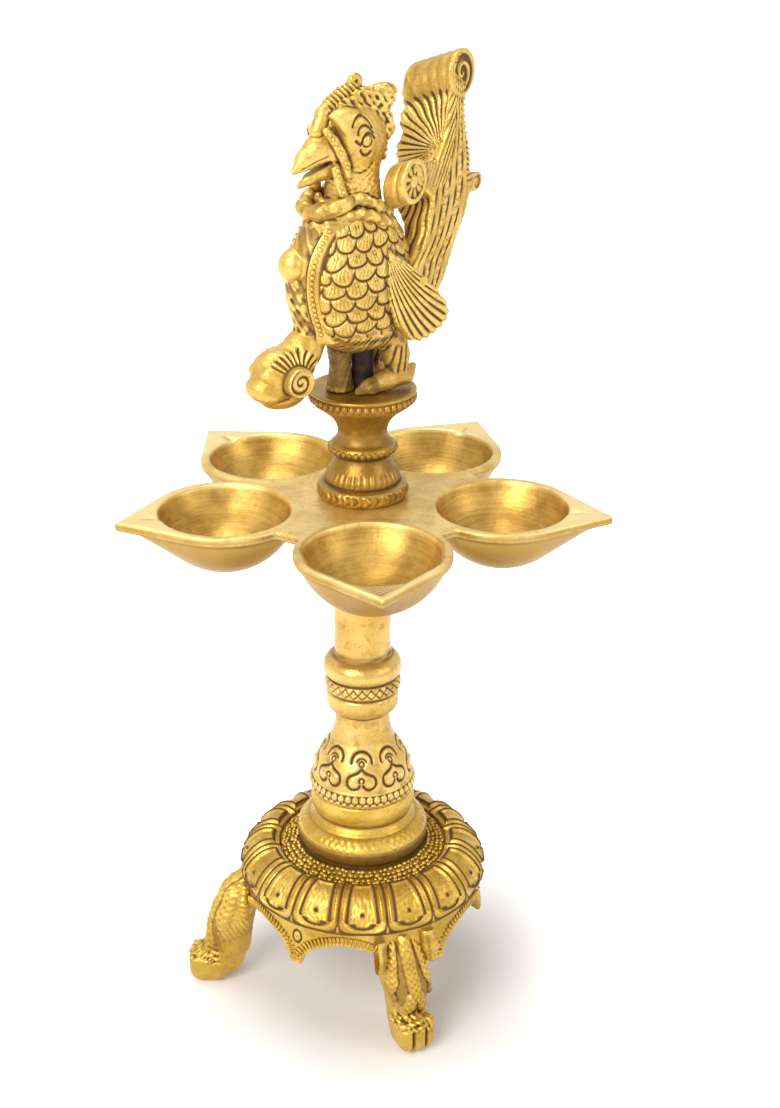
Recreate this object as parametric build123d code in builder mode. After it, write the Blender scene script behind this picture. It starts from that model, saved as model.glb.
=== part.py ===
from build123d import *
import math
import os

os.makedirs("parts", exist_ok=True)

# Heights of the stacked sections, from the table up
base_height = 55.5
foot_height = 19.5
bell_height = 35.0
stem_height = 57.4
hub_depth = 5.0
plate_thickness = 2.6
pedestal_height = 33.6

bell_z = base_height + foot_height
collar_z = bell_z + bell_height
hub_z = collar_z + stem_height
plate_under_z = hub_z + hub_depth
plate_top_z = plate_under_z + plate_thickness
pedestal_top_z = plate_top_z + pedestal_height

# Tie rod, its nut and washer, and the fits along the stack
rod_radius = 3.2
rod_clearance = 0.08
thread_clearance = 0.05
rod_engagement = 12.0
rod_tail = 4.9
spigot_radius = 6.0
spigot_height = 1.6
spigot_clearance = 0.06
spigot_relief = 0.4
washer_radius = 9.0
washer_thickness = 1.6
nut_across_flats = 10.0
nut_height = 5.0
nut_chamfer = 0.6

# Base: seat, beaded band, petal dome, rim and apron
seat_radius = 19.4
band_radius = 25.6
band_drop = 2.1
dome_start_radius = 26.2
crest_radius = 30.6
crest_rise = 0.2
rim_radius = 39.2
rim_top_z = 46.6
rim_bottom_z = 43.8
wall = 2.4
dome_wall = 3.4
dome_roof = 4.0
boss_radius = 12.0
boss_depth = 4.5
apron_inset = 1.6
apron_bottom_z = 29.0
arch_half_width = 13.8
arch_top_z = 38.5
arch_offset = 24.5
petal_count = 16
petal_arc = 17.5
petal_rise = 1.3
petal_inset = 1.0
petal_root = 1.2
crest_lead = 2.2
crest_sag = 0.4
shoulder_out = 1.4
shoulder_up = 1.2
ceiling_in = 1.8
ceiling_up = 4.6

# Legs: where each stands, how far its toes reach, and the size of the paw
leg_angles = {"left": 180.0, "front": -66.0, "rear": 59.5}
leg_reaches = {"left": 58.0, "front": 45.5, "rear": 51.0}
leg_top_z = 41.0
leg_width = 15.0
leg_inset = 0.6
leg_root_thickness = 3.2
thigh_thickness = 9.0
thigh_share = 0.39
knee_thickness = 12.0
shin_back = 4.0
corner_share = 0.32
knee_z = 30.0
knee_share = 0.48
shin_z = 17.0
shin_thickness = 14.0
ankle_width = 11.5
paw_length = 19.0
paw_width = 14.0
paw_height = 11.5
paw_sole_share = 0.86
paw_top_share = 0.7
toe_slit_width = 1.2
toe_slit_depth = 5.0
toe_pitch = 4.7
braze_gap = 0.05

# Stem foot, bell and upper stem
foot_radius = 20.8
foot_seat_radius = 18.2
foot_ring_radius = 16.2
foot_ring_height = 6.6
foot_groove_radius = 15.2
foot_groove_height = 2.6
cushion_slope = 2.2
bell_radius = 16.3
bell_band_height = 5.2
bell_neck_radius = 8.5
bell_neck_height = 6.0
bell_shoulder = (1.3, 4.6)
bell_waist = (2.0, 9.8)
collar_radius = 11.3
collar_height = 6.6
seam_radius = 10.8
stem_band_height = 5.2
stem_bulge_radius = 12.2
stem_bulge_height = 6.2
stem_radius = 8.7
stem_top_radius = 9.3
band_proud = 0.7
collar_lip = 1.4
edge_break = 0.8

# Plate of five cups, not quite evenly spaced, as they were cast
cup_angles = (-86.0, -13.5, 59.0, 132.5, 197.5)
cup_center = 42.0
cup_radius = 22.2
cup_tip = 74.5
cup_wall = 2.4
cup_lip = 0.5
bowl_tip = 66.0
bowl_depth = 14.0
bowl_floor = 2.5
bowl_foot_share = 0.25
bowl_steps = (0.0, 0.4, 0.7, 0.9, 1.0)
spout_fade = 1.5
plate_radius = 37.5
hub_radius = 12.0

# Pedestal
ring_radius = 13.1
ring_height = 4.6
flare_radius = 10.8
waist_radius = 7.1
waist_curve = (0.8, 4.4)
neck_length = 1.5
table_curve = (2.4, 5.4)
bead_ring_radius = 9.9
bead_ring_z = 15.7
bead_ring_height = 4.4
table_radius = 15.9
table_thickness = 3.8

# Bird: heading of the beak, and sections of its one casting, measured from the pedestal's top
bird_heading = 216.0
bird_offset = 1.2
body_rings = (
    (13.0, 2.0, 9.0, 7.0),
    (18.0, 3.4, 14.0, 10.5),
    (28.0, 4.0, 17.5, 13.0),
    (38.0, 4.0, 17.0, 12.4),
    (46.0, 3.8, 14.0, 10.4),
    (53.0, 4.8, 10.2, 8.4),
    (59.0, 5.0, 8.2, 7.0),
    (65.0, 5.0, 9.6, 7.2),
    (71.0, 5.4, 12.0, 7.6),
    (76.5, 5.0, 10.8, 6.8),
    (80.5, 4.4, 6.5, 4.2),
)
belly_height = body_rings[0][0]
neck_rolls = ((48.5, 3.6, 13.4, 10.8), (53.4, 4.4, 11.8, 9.8))
neck_roll_height = 3.4
upper_beak = ((12.0, 70.8, 4.8, 4.2), (18.6, 68.4, 3.2, 2.9), (24.4, 65.0, 0.7, 0.6))
lower_beak = ((10.0, 65.6, 3.8, 2.2), (17.0, 63.0, 2.4, 1.4), (22.4, 61.0, 0.7, 0.6))
crest_half_width = 2.4
crest_swell = 0.8
crest_brow = ((14.6, 77.0), (9.6, 81.0))
crest_dip = (-1.8, 82.8)
crest_back = (-6.8, 78.2)
crest_root = (-4.4, 66.0)
crest_ball = (2.0, 85.4, 2.4)
crest_scroll = (-5.4, 82.6, 3.0)
nape_lobe = (-5.6, 73.0, 2.8)
wing_inner = 9.0
wing_thickness = 4.4
wing_front = ((0.5, 42.0), (1.2, 32.0), (-1.6, 22.0), (-7.0, 15.8))
wing_tip = ((-7.0, 15.8), (-13.4, 17.2), (-18.4, 21.8))
wing_top = ((-18.4, 21.8), (-15.6, 28.0), (-10.6, 34.6), (0.5, 42.0))
leg_spread = 5.8
shank_radius = 3.2
foot_half_width = 2.6
hip_along = -5.4
hip_swell = 0.8
hip_sink = 4.0
ankle_along = -6.8
ankle_height = 4.0
foot_sole = ((6.6, 2.4), (6.6, 0.0), (-9.4, 0.0), (-10.4, 2.4), (-12.6, 6.4))
foot_top = ((-12.6, 6.4), (-6.0, 7.0), (-1.0, 6.0), (6.6, 2.4))

# Tail plume, set a little askew, its two rolls, its tang in the rump and the cross pin
tail_heading = 237.0
tail_root = (12.5, 8.2)
tail_near = 9.0
tail_far = 7.5
tail_lean = 0.34
tail_back = (
    (10.0, 22.0),
    (4.0, 22.8),
    (-4.1, 26.8),
    (-12.0, 38.0),
    (-20.2, 49.0),
    (-20.4, 61.0),
    (-15.2, 78.0),
)
tail_head = ((-15.2, 78.0), (-15.2, 88.0), (-8.2, 88.0))
tail_front = (
    (-8.2, 88.0),
    (-8.6, 80.0),
    (-6.4, 70.0),
    (-1.6, 61.0),
    (1.2, 51.0),
    (3.2, 43.0),
    (10.0, 36.0),
)
tail_notch = ((-2.6, 49.0), (0.4, 42.0), (-2.6, 36.0))
tail_notch_ends = (54.0, 31.0)
tail_notch_reach = 30.0
top_roll = (-14.7, 86.4, 6.8)
low_roll = (10.0, 60.6, 6.3)
low_roll_far = 2.0
low_roll_root = ((-4.0, 62.0), (0.0, 54.0))
back_curl = (-24.4, 54.4, 2.8)
back_curl_width = 8.0
back_curl_root = ((-18.0, 58.0), (-18.0, 49.0))
tang_half_width = 2.5
tang_clearance = 0.05
tang_low = 28.0
tang_high = 37.0
tang_depth = 8.0
pin_radius = 1.3
pin_clearance = 0.05
pin_along = -10.2
pin_height = 32.4
pin_reach = 13.2

# Breast strap with the lion mask, and its rivet
strap_half_width = 7.5
strap_thickness = 2.2
strap_start = 5.0
strap_rings = body_rings[1:7]
mask_head = (29.0, 9.6, 9.6, 8.6)
mask_muzzle = (35.6, 6.8, 5.2, 4.6)
mask_jaw = (28.6, 3.6, 6.5, 5.4)
mask_neck_half_width = 6.0
mask_neck = ((14.0, 25.0), (21.6, 25.0), (23.0, 19.4), (28.0, 16.0), (26.0, 7.0), (18.0, 13.0), (14.0, 25.0))
ear_along = 27.6
ear_height = 8.0
ear_radius = 4.6
ear_half_span = 9.4
rivet_height = 39.0
rivet_head_radius = 4.8
rivet_head_seat = 22.6
rivet_head_rise = 3.8
rivet_head_land = 0.5
rivet_shank_radius = 1.6
rivet_shank_length = 12.0
rivet_clearance = 0.05
drill_overrun = 1.0

from_bottom = (Align.CENTER, Align.CENTER, Align.MIN)


# A plain bore in place of a threaded one, so that each section slides over the rod
def bore_for_rod(bottom, top):
    with Locations((0, 0, bottom)):
        Cylinder(rod_radius + rod_clearance, top - bottom, align=from_bottom, mode=Mode.SUBTRACT)


# Each section locates on a short spigot of the one below
def spigot_on(height):
    with Locations((0, 0, height)):
        Cylinder(spigot_radius, spigot_height, align=from_bottom)


def socket_at(height):
    depth = spigot_height + spigot_relief
    with Locations((0, 0, height)):
        Cylinder(spigot_radius + spigot_clearance, depth, align=from_bottom, mode=Mode.SUBTRACT)


# Base dome: one shell with a boss for the rod, sixteen raised petals and the arched apron
crest_z = base_height + crest_rise
band_z = base_height - band_drop
roof_z = base_height - dome_roof
boss_z = roof_z - boss_depth
apron_radius = rim_radius - apron_inset
shoulder = (
    (crest_radius + rim_radius) / 2 + shoulder_out,
    (crest_z + rim_top_z) / 2 + shoulder_up,
)

with BuildPart() as petal:
    with BuildSketch(Plane.XZ):
        with BuildLine():
            start = (dome_start_radius + petal_inset, band_z + edge_break)
            end = (rim_radius + braze_gap, rim_top_z + crest_sag)
            ThreePointArc(start, (shoulder[0] + petal_rise * 0.6, shoulder[1] + petal_rise), end)
            ThreePointArc(end, (shoulder[0] - petal_root, shoulder[1] - petal_root), start)
        make_face()
    revolve(axis=Axis.Z, revolution_arc=petal_arc)

with BuildPart() as dome_outline:
    with BuildSketch(Plane.XZ):
        with BuildLine():
            Polyline((0, base_height), (seat_radius, base_height), (band_radius, band_z))
            Line((band_radius, band_z), (dome_start_radius, band_z))
            ThreePointArc(
                (dome_start_radius, band_z),
                (crest_radius - crest_lead, crest_z - crest_sag),
                (crest_radius, crest_z),
            )
            ThreePointArc((crest_radius, crest_z), shoulder, (rim_radius, rim_top_z))
            Polyline(
                (rim_radius, rim_top_z),
                (rim_radius, rim_bottom_z),
                (apron_radius, rim_bottom_z),
                (apron_radius, apron_bottom_z),
                (0, apron_bottom_z),
                (0, base_height),
            )
        make_face()
    revolve(axis=Axis.Z)

leg_middles = [
    (leg_angles["front"] + leg_angles["rear"]) / 2,
    (leg_angles["rear"] + leg_angles["left"]) / 2,
    (leg_angles["left"] + leg_angles["front"] + 360) / 2,
]

with BuildPart() as base_dome:
    add(dome_outline.part)
    with PolarLocations(0, petal_count, start_angle=-petal_arc / 2):
        add(petal.part)
    with BuildSketch(Plane.XZ):
        with BuildLine():
            inner = apron_radius - wall
            mouth_z = apron_bottom_z - drill_overrun
            Polyline((boss_radius, boss_z), (0, boss_z), (0, mouth_z), (inner, mouth_z))
            Line((inner, mouth_z), (inner, rim_bottom_z))
            ThreePointArc(
                (inner, rim_bottom_z),
                (inner - ceiling_in, rim_bottom_z + ceiling_up),
                (crest_radius - dome_wall, roof_z),
            )
            Polyline((crest_radius - dome_wall, roof_z), (boss_radius, roof_z), (boss_radius, boss_z))
        make_face()
    revolve(axis=Axis.Z, mode=Mode.SUBTRACT)
    for middle in leg_middles:
        for offset_angle in (-arch_offset, arch_offset):
            facing = Vector(1, 0, 0).rotate(Axis.Z, middle + offset_angle)
            sideways = facing.cross(Vector(0, 0, 1))
            with BuildSketch(Plane(origin=(0, 0, apron_bottom_z), x_dir=sideways, z_dir=facing)):
                Ellipse(arch_half_width, arch_top_z - apron_bottom_z)
            extrude(amount=rim_radius, mode=Mode.SUBTRACT)
    bore_for_rod(boss_z, base_height)
    spigot_on(base_height)
    bore_for_rod(base_height, base_height + spigot_height)


# Legs: a bowed shank under the rim and a lion's paw with two toe slits
def leg_section(angle, height, along, thickness, width):
    facing = Vector(1, 0, 0).rotate(Axis.Z, angle)
    middle = facing * along + Vector(0, 0, height)
    with BuildSketch(Plane(origin=middle, x_dir=facing, z_dir=(0, 0, 1))) as section:
        RectangleRounded(thickness, width, min(thickness, width) * corner_share)
    return section.sketch


legs = {}
for side, angle in leg_angles.items():
    reach = leg_reaches[side]
    paw_middle = reach - paw_length / 2
    shin_middle = paw_middle - shin_back
    heel_middle = paw_middle - shin_back / 2
    sole = (paw_length * paw_sole_share, paw_width * paw_sole_share)
    instep = (paw_length * paw_top_share, paw_width * paw_top_share)
    top_middle = apron_radius - leg_inset
    spread = reach - apron_radius
    thigh_middle = apron_radius + spread * thigh_share - thigh_thickness / 2
    knee_middle = apron_radius + spread * knee_share - knee_thickness / 2
    thigh_z = (leg_top_z + knee_z) / 2
    with BuildPart() as leg:
        loft(
            sections=[
                leg_section(angle, leg_top_z, top_middle, leg_root_thickness, leg_width * 0.8),
                leg_section(angle, thigh_z, thigh_middle, thigh_thickness, leg_width),
                leg_section(angle, knee_z, knee_middle, knee_thickness, leg_width * 0.95),
                leg_section(angle, shin_z, shin_middle, shin_thickness, ankle_width),
                leg_section(angle, paw_height * 0.4, heel_middle, shin_thickness * 0.9, ankle_width),
            ]
        )
        loft(
            sections=[
                leg_section(angle, 0, paw_middle, *sole),
                leg_section(angle, paw_height * 0.35, paw_middle, paw_length * 0.97, paw_width),
                leg_section(angle, paw_height * 0.75, paw_middle, paw_length * 0.97, paw_width * 0.96),
                leg_section(angle, paw_height, paw_middle, *instep),
            ]
        )
        facing = Vector(1, 0, 0).rotate(Axis.Z, angle)
        for toe in (-0.5, 0.5):
            toe_plane = Plane(origin=facing * reach, x_dir=facing, z_dir=(0, 0, 1))
            with BuildSketch(toe_plane.offset(-drill_overrun)):
                with Locations((0, toe * toe_pitch)):
                    Rectangle(toe_slit_depth * 2, toe_slit_width)
            extrude(amount=paw_height * 0.72, mode=Mode.SUBTRACT)
        with BuildSketch(Plane.XY.offset(apron_bottom_z - drill_overrun)):
            Circle(apron_radius + braze_gap)
        extrude(amount=base_height - apron_bottom_z, mode=Mode.SUBTRACT)
    legs[side] = leg.part

# Stem foot: a cushion under a plain ring
with BuildPart() as stem_foot:
    with BuildSketch(Plane.XZ):
        with BuildLine():
            ring_z = bell_z - foot_ring_height
            cushion_top = ring_z - foot_groove_height
            Polyline((0, bell_z), (0, base_height), (foot_seat_radius, base_height))
            ThreePointArc(
                (foot_seat_radius, base_height),
                (foot_radius, (base_height + cushion_top) / 2),
                (foot_radius - cushion_slope, cushion_top),
            )
            Polyline(
                (foot_radius - cushion_slope, cushion_top),
                (foot_groove_radius, cushion_top + foot_groove_height / 2),
                (foot_groove_radius, ring_z),
                (foot_ring_radius, ring_z + edge_break),
                (foot_ring_radius, bell_z - edge_break),
                (foot_ring_radius - edge_break, bell_z),
                (0, bell_z),
            )
        make_face()
    revolve(axis=Axis.Z)
    spigot_on(bell_z)
    socket_at(base_height)
    bore_for_rod(base_height, bell_z + spigot_height)

# Stem bell: bead band, flared bell, neck and lower half of the collar
with BuildPart() as stem_bell:
    with BuildSketch(Plane.XZ):
        with BuildLine():
            band_top = bell_z + bell_band_height
            collar_low = collar_z - collar_height
            Polyline(
                (0, collar_z),
                (0, bell_z),
                (bell_radius - edge_break, bell_z),
                (bell_radius, bell_z + edge_break),
                (bell_radius, band_top - edge_break),
                (bell_radius - edge_break / 2, band_top),
            )
            Spline(
                (bell_radius - edge_break / 2, band_top),
                (bell_radius - bell_shoulder[0], band_top + bell_shoulder[1]),
                (bell_neck_radius + bell_waist[0], band_top + bell_waist[1]),
                (bell_neck_radius, collar_low - bell_neck_height),
                tangents=((0, 1), (0, 1)),
            )
            Line((bell_neck_radius, collar_low - bell_neck_height), (bell_neck_radius, collar_low))
            Line((bell_neck_radius, collar_low), (collar_radius - collar_lip, collar_low + edge_break))
            ThreePointArc(
                (collar_radius - collar_lip, collar_low + edge_break),
                (collar_radius, collar_low + collar_height * 0.55),
                (seam_radius, collar_z),
            )
            Line((seam_radius, collar_z), (0, collar_z))
        make_face()
    revolve(axis=Axis.Z)
    spigot_on(collar_z)
    socket_at(bell_z)
    bore_for_rod(bell_z, collar_z + spigot_height)

# Upper stem: bead band and bulge of the collar, then a plain shaft that widens a little upward
with BuildPart() as upper_stem:
    with BuildSketch(Plane.XZ):
        with BuildLine():
            bulge_low = collar_z + stem_band_height
            bulge_top = bulge_low + stem_bulge_height
            Polyline(
                (0, hub_z),
                (0, collar_z),
                (seam_radius, collar_z),
                (seam_radius + band_proud, collar_z + edge_break),
                (seam_radius + band_proud, bulge_low - edge_break),
                (seam_radius, bulge_low),
            )
            ThreePointArc(
                (seam_radius, bulge_low),
                (stem_bulge_radius, bulge_low + stem_bulge_height * 0.45),
                (stem_radius + collar_lip, bulge_top),
            )
            Polyline(
                (stem_radius + collar_lip, bulge_top),
                (stem_radius, bulge_top + edge_break),
                (stem_top_radius, hub_z),
                (0, hub_z),
            )
        make_face()
    revolve(axis=Axis.Z)
    spigot_on(hub_z)
    socket_at(collar_z)
    bore_for_rod(collar_z, hub_z + spigot_height)


# Cup plate: five lofted cups under a flat star-shaped plate, with a hub for the stem
def cup_section(angle, height, radius, tip):
    facing = Vector(1, 0, 0).rotate(Axis.Z, angle)
    half_turn = math.acos(radius / tip)
    shoulder_x = radius * math.cos(half_turn)
    shoulder_y = radius * math.sin(half_turn)
    middle = facing * cup_center + Vector(0, 0, height)
    with BuildSketch(Plane(origin=middle, x_dir=facing, z_dir=(0, 0, 1))) as section:
        with BuildLine():
            Polyline((shoulder_x, -shoulder_y), (tip, 0), (shoulder_x, shoulder_y))
            ThreePointArc((shoulder_x, shoulder_y), (-radius, 0), (shoulder_x, -shoulder_y))
        make_face()
    return section.sketch


def bowl_share(step):
    return bowl_foot_share + (1 - bowl_foot_share) * math.sqrt(1 - step * step)


def bowl_sections(angle, top, depth, radius, tip):
    sections = []
    for step in bowl_steps:
        round_part = radius * bowl_share(step)
        point_part = (tip - radius) * (1 - 0.9 * step) ** spout_fade
        sections.append(cup_section(angle, top - depth * step, round_part, round_part + point_part))
    return sections


cup_depth = bowl_depth + bowl_floor - plate_thickness
with BuildPart() as cup_plate:
    with BuildSketch(Plane.XY.offset(plate_under_z)):
        Circle(plate_radius)
    extrude(amount=plate_thickness)
    for angle in cup_angles:
        extrude(cup_section(angle, plate_under_z, cup_radius, cup_tip - cup_center), amount=plate_thickness)
        loft(
            sections=bowl_sections(
                angle, plate_under_z, cup_depth, cup_radius - cup_lip, cup_tip - cup_center - 2 * cup_lip
            )
        )
    with BuildSketch(Plane.XY.offset(hub_z)):
        Circle(hub_radius)
    extrude(amount=hub_depth)
    for angle in cup_angles:
        loft(
            sections=bowl_sections(
                angle, plate_top_z, bowl_depth, cup_radius - cup_wall, bowl_tip - cup_center
            ),
            mode=Mode.SUBTRACT,
        )
    socket_at(hub_z)
    bore_for_rod(hub_z, plate_top_z)

# Pedestal: foot ring, leaf flare, beaded waist ring and a round table for the bird
with BuildPart() as pedestal:
    with BuildSketch(Plane.XZ):
        with BuildLine():
            ring_top = plate_top_z + ring_height
            bead_z = plate_top_z + bead_ring_z
            bead_low = bead_z - bead_ring_height / 2
            bead_top = bead_z + bead_ring_height / 2
            table_z = pedestal_top_z - table_thickness
            Polyline(
                (0, pedestal_top_z),
                (0, plate_top_z),
                (ring_radius - edge_break, plate_top_z),
                (ring_radius, plate_top_z + edge_break),
                (ring_radius, ring_top - edge_break),
                (ring_radius - edge_break, ring_top),
                (flare_radius - edge_break, ring_top),
                (flare_radius, ring_top + edge_break),
            )
            ThreePointArc(
                (flare_radius, ring_top + edge_break),
                (waist_radius + waist_curve[0], ring_top + waist_curve[1]),
                (waist_radius, bead_low - neck_length),
            )
            Line((waist_radius, bead_low - neck_length), (waist_radius, bead_low))
            ThreePointArc((waist_radius, bead_low), (bead_ring_radius, bead_z), (waist_radius, bead_top))
            Line((waist_radius, bead_top), (waist_radius, bead_top + neck_length))
            Spline(
                (waist_radius, bead_top + neck_length),
                (waist_radius + table_curve[0], bead_top + table_curve[1]),
                (table_radius - edge_break, table_z),
                tangents=((0, 1), (1, 0.9)),
            )
            Polyline(
                (table_radius - edge_break, table_z),
                (table_radius, table_z + edge_break),
                (table_radius, pedestal_top_z - edge_break),
                (table_radius - edge_break, pedestal_top_z),
                (0, pedestal_top_z),
            )
        make_face()
    revolve(axis=Axis.Z)
    bore_for_rod(plate_top_z, pedestal_top_z)

# Planes of the bird: level sections, cross sections and its middle side plane
heading = Vector(1, 0, 0).rotate(Axis.Z, bird_heading)
bird_frame = Plane(origin=(bird_offset, 0, pedestal_top_z), x_dir=heading, z_dir=(0, 0, 1))
side_plane = Plane(origin=bird_frame.origin, x_dir=heading, z_dir=-bird_frame.y_dir)
tail_facing = Vector(1, 0, 0).rotate(Axis.Z, tail_heading)
tail_plane = Plane(
    origin=(tail_root[0], tail_root[1], pedestal_top_z),
    x_dir=tail_facing,
    z_dir=tail_facing.cross(Vector(0, 0, 1)),
)
tail_sweep = tail_plane.z_dir - Vector(0, 0, tail_lean)


def level_plane(along, across, height):
    middle = bird_frame.from_local_coords((along, across, height))
    return Plane(origin=middle, x_dir=heading, z_dir=(0, 0, 1))


def cross_plane(along, height):
    middle = bird_frame.from_local_coords((along, 0, height))
    return Plane(origin=middle, x_dir=bird_frame.y_dir, z_dir=heading)


# Bird before its slot, strap seat and holes are cut
with BuildPart() as bird_form:
    for height, middle, half_length, half_width in body_rings:
        with BuildSketch(level_plane(middle, 0, height)):
            Ellipse(half_length, half_width)
    loft()
    for height, middle, half_length, half_width in neck_rolls:
        with BuildSketch(level_plane(middle, 0, height - neck_roll_height / 2)):
            Ellipse(half_length, half_width)
        extrude(amount=neck_roll_height)
    for along, height, half_width, half_height in upper_beak:
        with BuildSketch(cross_plane(along, height)):
            Ellipse(half_width, half_height)
    loft()
    for along, height, half_width, half_height in lower_beak:
        with BuildSketch(cross_plane(along, height)):
            Ellipse(half_width, half_height)
    loft()
    with BuildSketch(side_plane):
        with BuildLine():
            Spline(*crest_brow, crest_ball[:2], crest_dip, crest_scroll[:2])
            Spline(crest_scroll[:2], crest_back, nape_lobe[:2], crest_root)
            Line(crest_root, crest_brow[0])
        make_face()
    extrude(amount=crest_half_width, both=True)
    for along, height, radius in (crest_ball, crest_scroll, nape_lobe):
        with BuildSketch(side_plane):
            with Locations((along, height)):
                Circle(radius)
        extrude(amount=crest_half_width + crest_swell, both=True)
    for side in (-1, 1):
        with BuildSketch(side_plane.offset(-side * wing_inner)):
            with BuildLine():
                Spline(*wing_front)
                Spline(*wing_tip)
                Spline(*wing_top)
            make_face()
        extrude(amount=-side * wing_thickness)
        with BuildSketch(level_plane(hip_along, side * (leg_spread - hip_swell), belly_height + hip_sink)):
            Circle(shank_radius + hip_swell)
        with BuildSketch(level_plane(ankle_along, side * leg_spread, ankle_height)):
            Circle(shank_radius)
        loft()
        with BuildSketch(side_plane.offset(-side * leg_spread)):
            with BuildLine():
                Polyline(*foot_sole)
                Spline(*foot_top)
            make_face()
        extrude(amount=foot_half_width, both=True)

# Tail: a deep plume with a roll at its tip and another at its front, and a tang for the rump
with BuildPart() as bird_tail:
    with BuildSketch(tail_plane.offset(-tail_near)):
        with BuildLine():
            Spline(*tail_back)
            Polyline(*tail_head)
            Spline(*tail_front)
            Line(tail_front[-1], tail_back[0])
        make_face()
    extrude(amount=(tail_far + tail_near) * tail_sweep.length, dir=tail_sweep)
    with BuildSketch(tail_plane.offset(-tail_near)):
        with Locations(top_roll[:2]):
            Circle(top_roll[2])
    extrude(amount=(tail_far + tail_near) * tail_sweep.length, dir=tail_sweep)
    with BuildSketch(tail_plane.offset(-tail_near)):
        with BuildLine():
            low_roll_top = (low_roll[0], low_roll[1] + low_roll[2])
            Polyline(low_roll_top, *low_roll_root, low_roll[:2], low_roll_top)
        make_face()
        with Locations(low_roll[:2]):
            Circle(low_roll[2])
    extrude(amount=(tail_near - low_roll_far) * tail_sweep.length, dir=tail_sweep)
    with BuildSketch(tail_plane.offset(-tail_near)):
        with BuildLine():
            back_curl_top = (back_curl[0], back_curl[1] + back_curl[2])
            Polyline(back_curl_root[0], back_curl_top, back_curl[:2], back_curl_root[1], back_curl_root[0])
        make_face()
        with Locations(back_curl[:2]):
            Circle(back_curl[2])
    extrude(amount=back_curl_width)
    tail_edge_plane = Plane(origin=tail_plane.origin, x_dir=-tail_plane.z_dir, z_dir=tail_facing)
    with BuildSketch(tail_edge_plane.offset(-tail_notch_reach)):
        with BuildLine():
            outside = -tail_far - drill_overrun
            Spline((outside, tail_notch_ends[0]), *tail_notch, (outside, tail_notch_ends[1]))
            Line((outside, tail_notch_ends[1]), (outside, tail_notch_ends[0]))
        make_face()
    extrude(amount=2 * tail_notch_reach, mode=Mode.SUBTRACT)
    add(bird_form.part, mode=Mode.SUBTRACT)
    with BuildSketch(side_plane):
        with Locations((pin_along, (tang_low + tang_high) / 2)):
            Rectangle(2 * tang_depth, tang_high - tang_low)
    extrude(amount=tang_half_width, both=True)
    with BuildSketch(side_plane):
        with Locations((pin_along, pin_height)):
            Circle(pin_radius + pin_clearance)
    extrude(amount=2 * pin_reach, both=True, mode=Mode.SUBTRACT)

with BuildPart() as tail_pin:
    with BuildSketch(side_plane):
        with Locations((pin_along, pin_height)):
            Circle(pin_radius)
    extrude(amount=pin_reach, both=True)

# Breast strap: a broad band that hugs the breast, with the lion mask at its lower end
with BuildPart() as breast_strap:
    for height, middle, half_length, half_width in strap_rings:
        with BuildSketch(level_plane(middle, 0, height)):
            Ellipse(half_length + strap_thickness, half_width + strap_thickness)
    loft()
    with BuildSketch(cross_plane(strap_start, belly_height)):
        Rectangle(2 * strap_half_width, 2 * pedestal_height + belly_height)
    extrude(amount=2 * strap_rings[1][2], mode=Mode.INTERSECT)
    with BuildSketch(side_plane):
        with BuildLine():
            Polyline(*mask_neck)
        make_face()
    extrude(amount=mask_neck_half_width, both=True)
    for along, height, half_length, radius in (mask_head, mask_muzzle, mask_jaw):
        with BuildSketch(side_plane):
            with Locations((along, height)):
                Ellipse(half_length, radius)
            with Locations((along, height - radius)):
                Rectangle(2 * half_length, 2 * radius, mode=Mode.SUBTRACT)
        revolve(axis=Axis(bird_frame.from_local_coords((along, 0, height)), heading))
    for side in (-1, 1):
        with BuildSketch(side_plane):
            with Locations((ear_along, ear_height)):
                Circle(ear_radius)
        extrude(amount=-side * ear_half_span)
    add(bird_form.part, mode=Mode.SUBTRACT)
    with BuildSketch(cross_plane(rivet_head_seat, rivet_height)):
        Circle(rivet_head_radius + rivet_clearance)
    extrude(amount=rivet_head_rise + drill_overrun, mode=Mode.SUBTRACT)
    with BuildSketch(cross_plane(rivet_head_seat, rivet_height)):
        Circle(rivet_shank_radius + rivet_clearance)
    extrude(amount=-rivet_shank_length - drill_overrun, mode=Mode.SUBTRACT)

with BuildPart() as strap_rivet:
    with BuildSketch(cross_plane(rivet_head_seat, rivet_height)):
        Circle(rivet_head_radius)
    extrude(amount=rivet_head_rise)
    crown = strap_rivet.faces().sort_by(Axis((0, 0, 0), heading))[-1]
    fillet(crown.edges(), rivet_head_rise - rivet_head_land)
    with BuildSketch(cross_plane(rivet_head_seat, rivet_height)):
        Circle(rivet_shank_radius)
    extrude(amount=-rivet_shank_length)

# Bird as it is finished: slot for the tang, pin hole, rivet hole and the socket of the rod
rod_top = pedestal_top_z + belly_height + rod_engagement
with BuildPart() as bird_body:
    add(bird_form.part)
    with BuildSketch(side_plane):
        with Locations((pin_along - tang_clearance, (tang_low + tang_high) / 2)):
            Rectangle(2 * (tang_depth + 2 * tang_clearance), tang_high - tang_low + 2 * tang_clearance)
    extrude(amount=tang_half_width + tang_clearance, both=True, mode=Mode.SUBTRACT)
    with BuildSketch(side_plane):
        with Locations((pin_along, pin_height)):
            Circle(pin_radius + pin_clearance)
    extrude(amount=2 * pin_reach, both=True, mode=Mode.SUBTRACT)
    with BuildSketch(cross_plane(rivet_head_seat, rivet_height)):
        Circle(rivet_shank_radius + rivet_clearance)
    extrude(amount=-rivet_shank_length - drill_overrun, mode=Mode.SUBTRACT)
    with Locations((0, 0, pedestal_top_z)):
        Cylinder(
            rod_radius + thread_clearance,
            belly_height + rod_engagement + spigot_relief,
            align=from_bottom,
            mode=Mode.SUBTRACT,
        )

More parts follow.
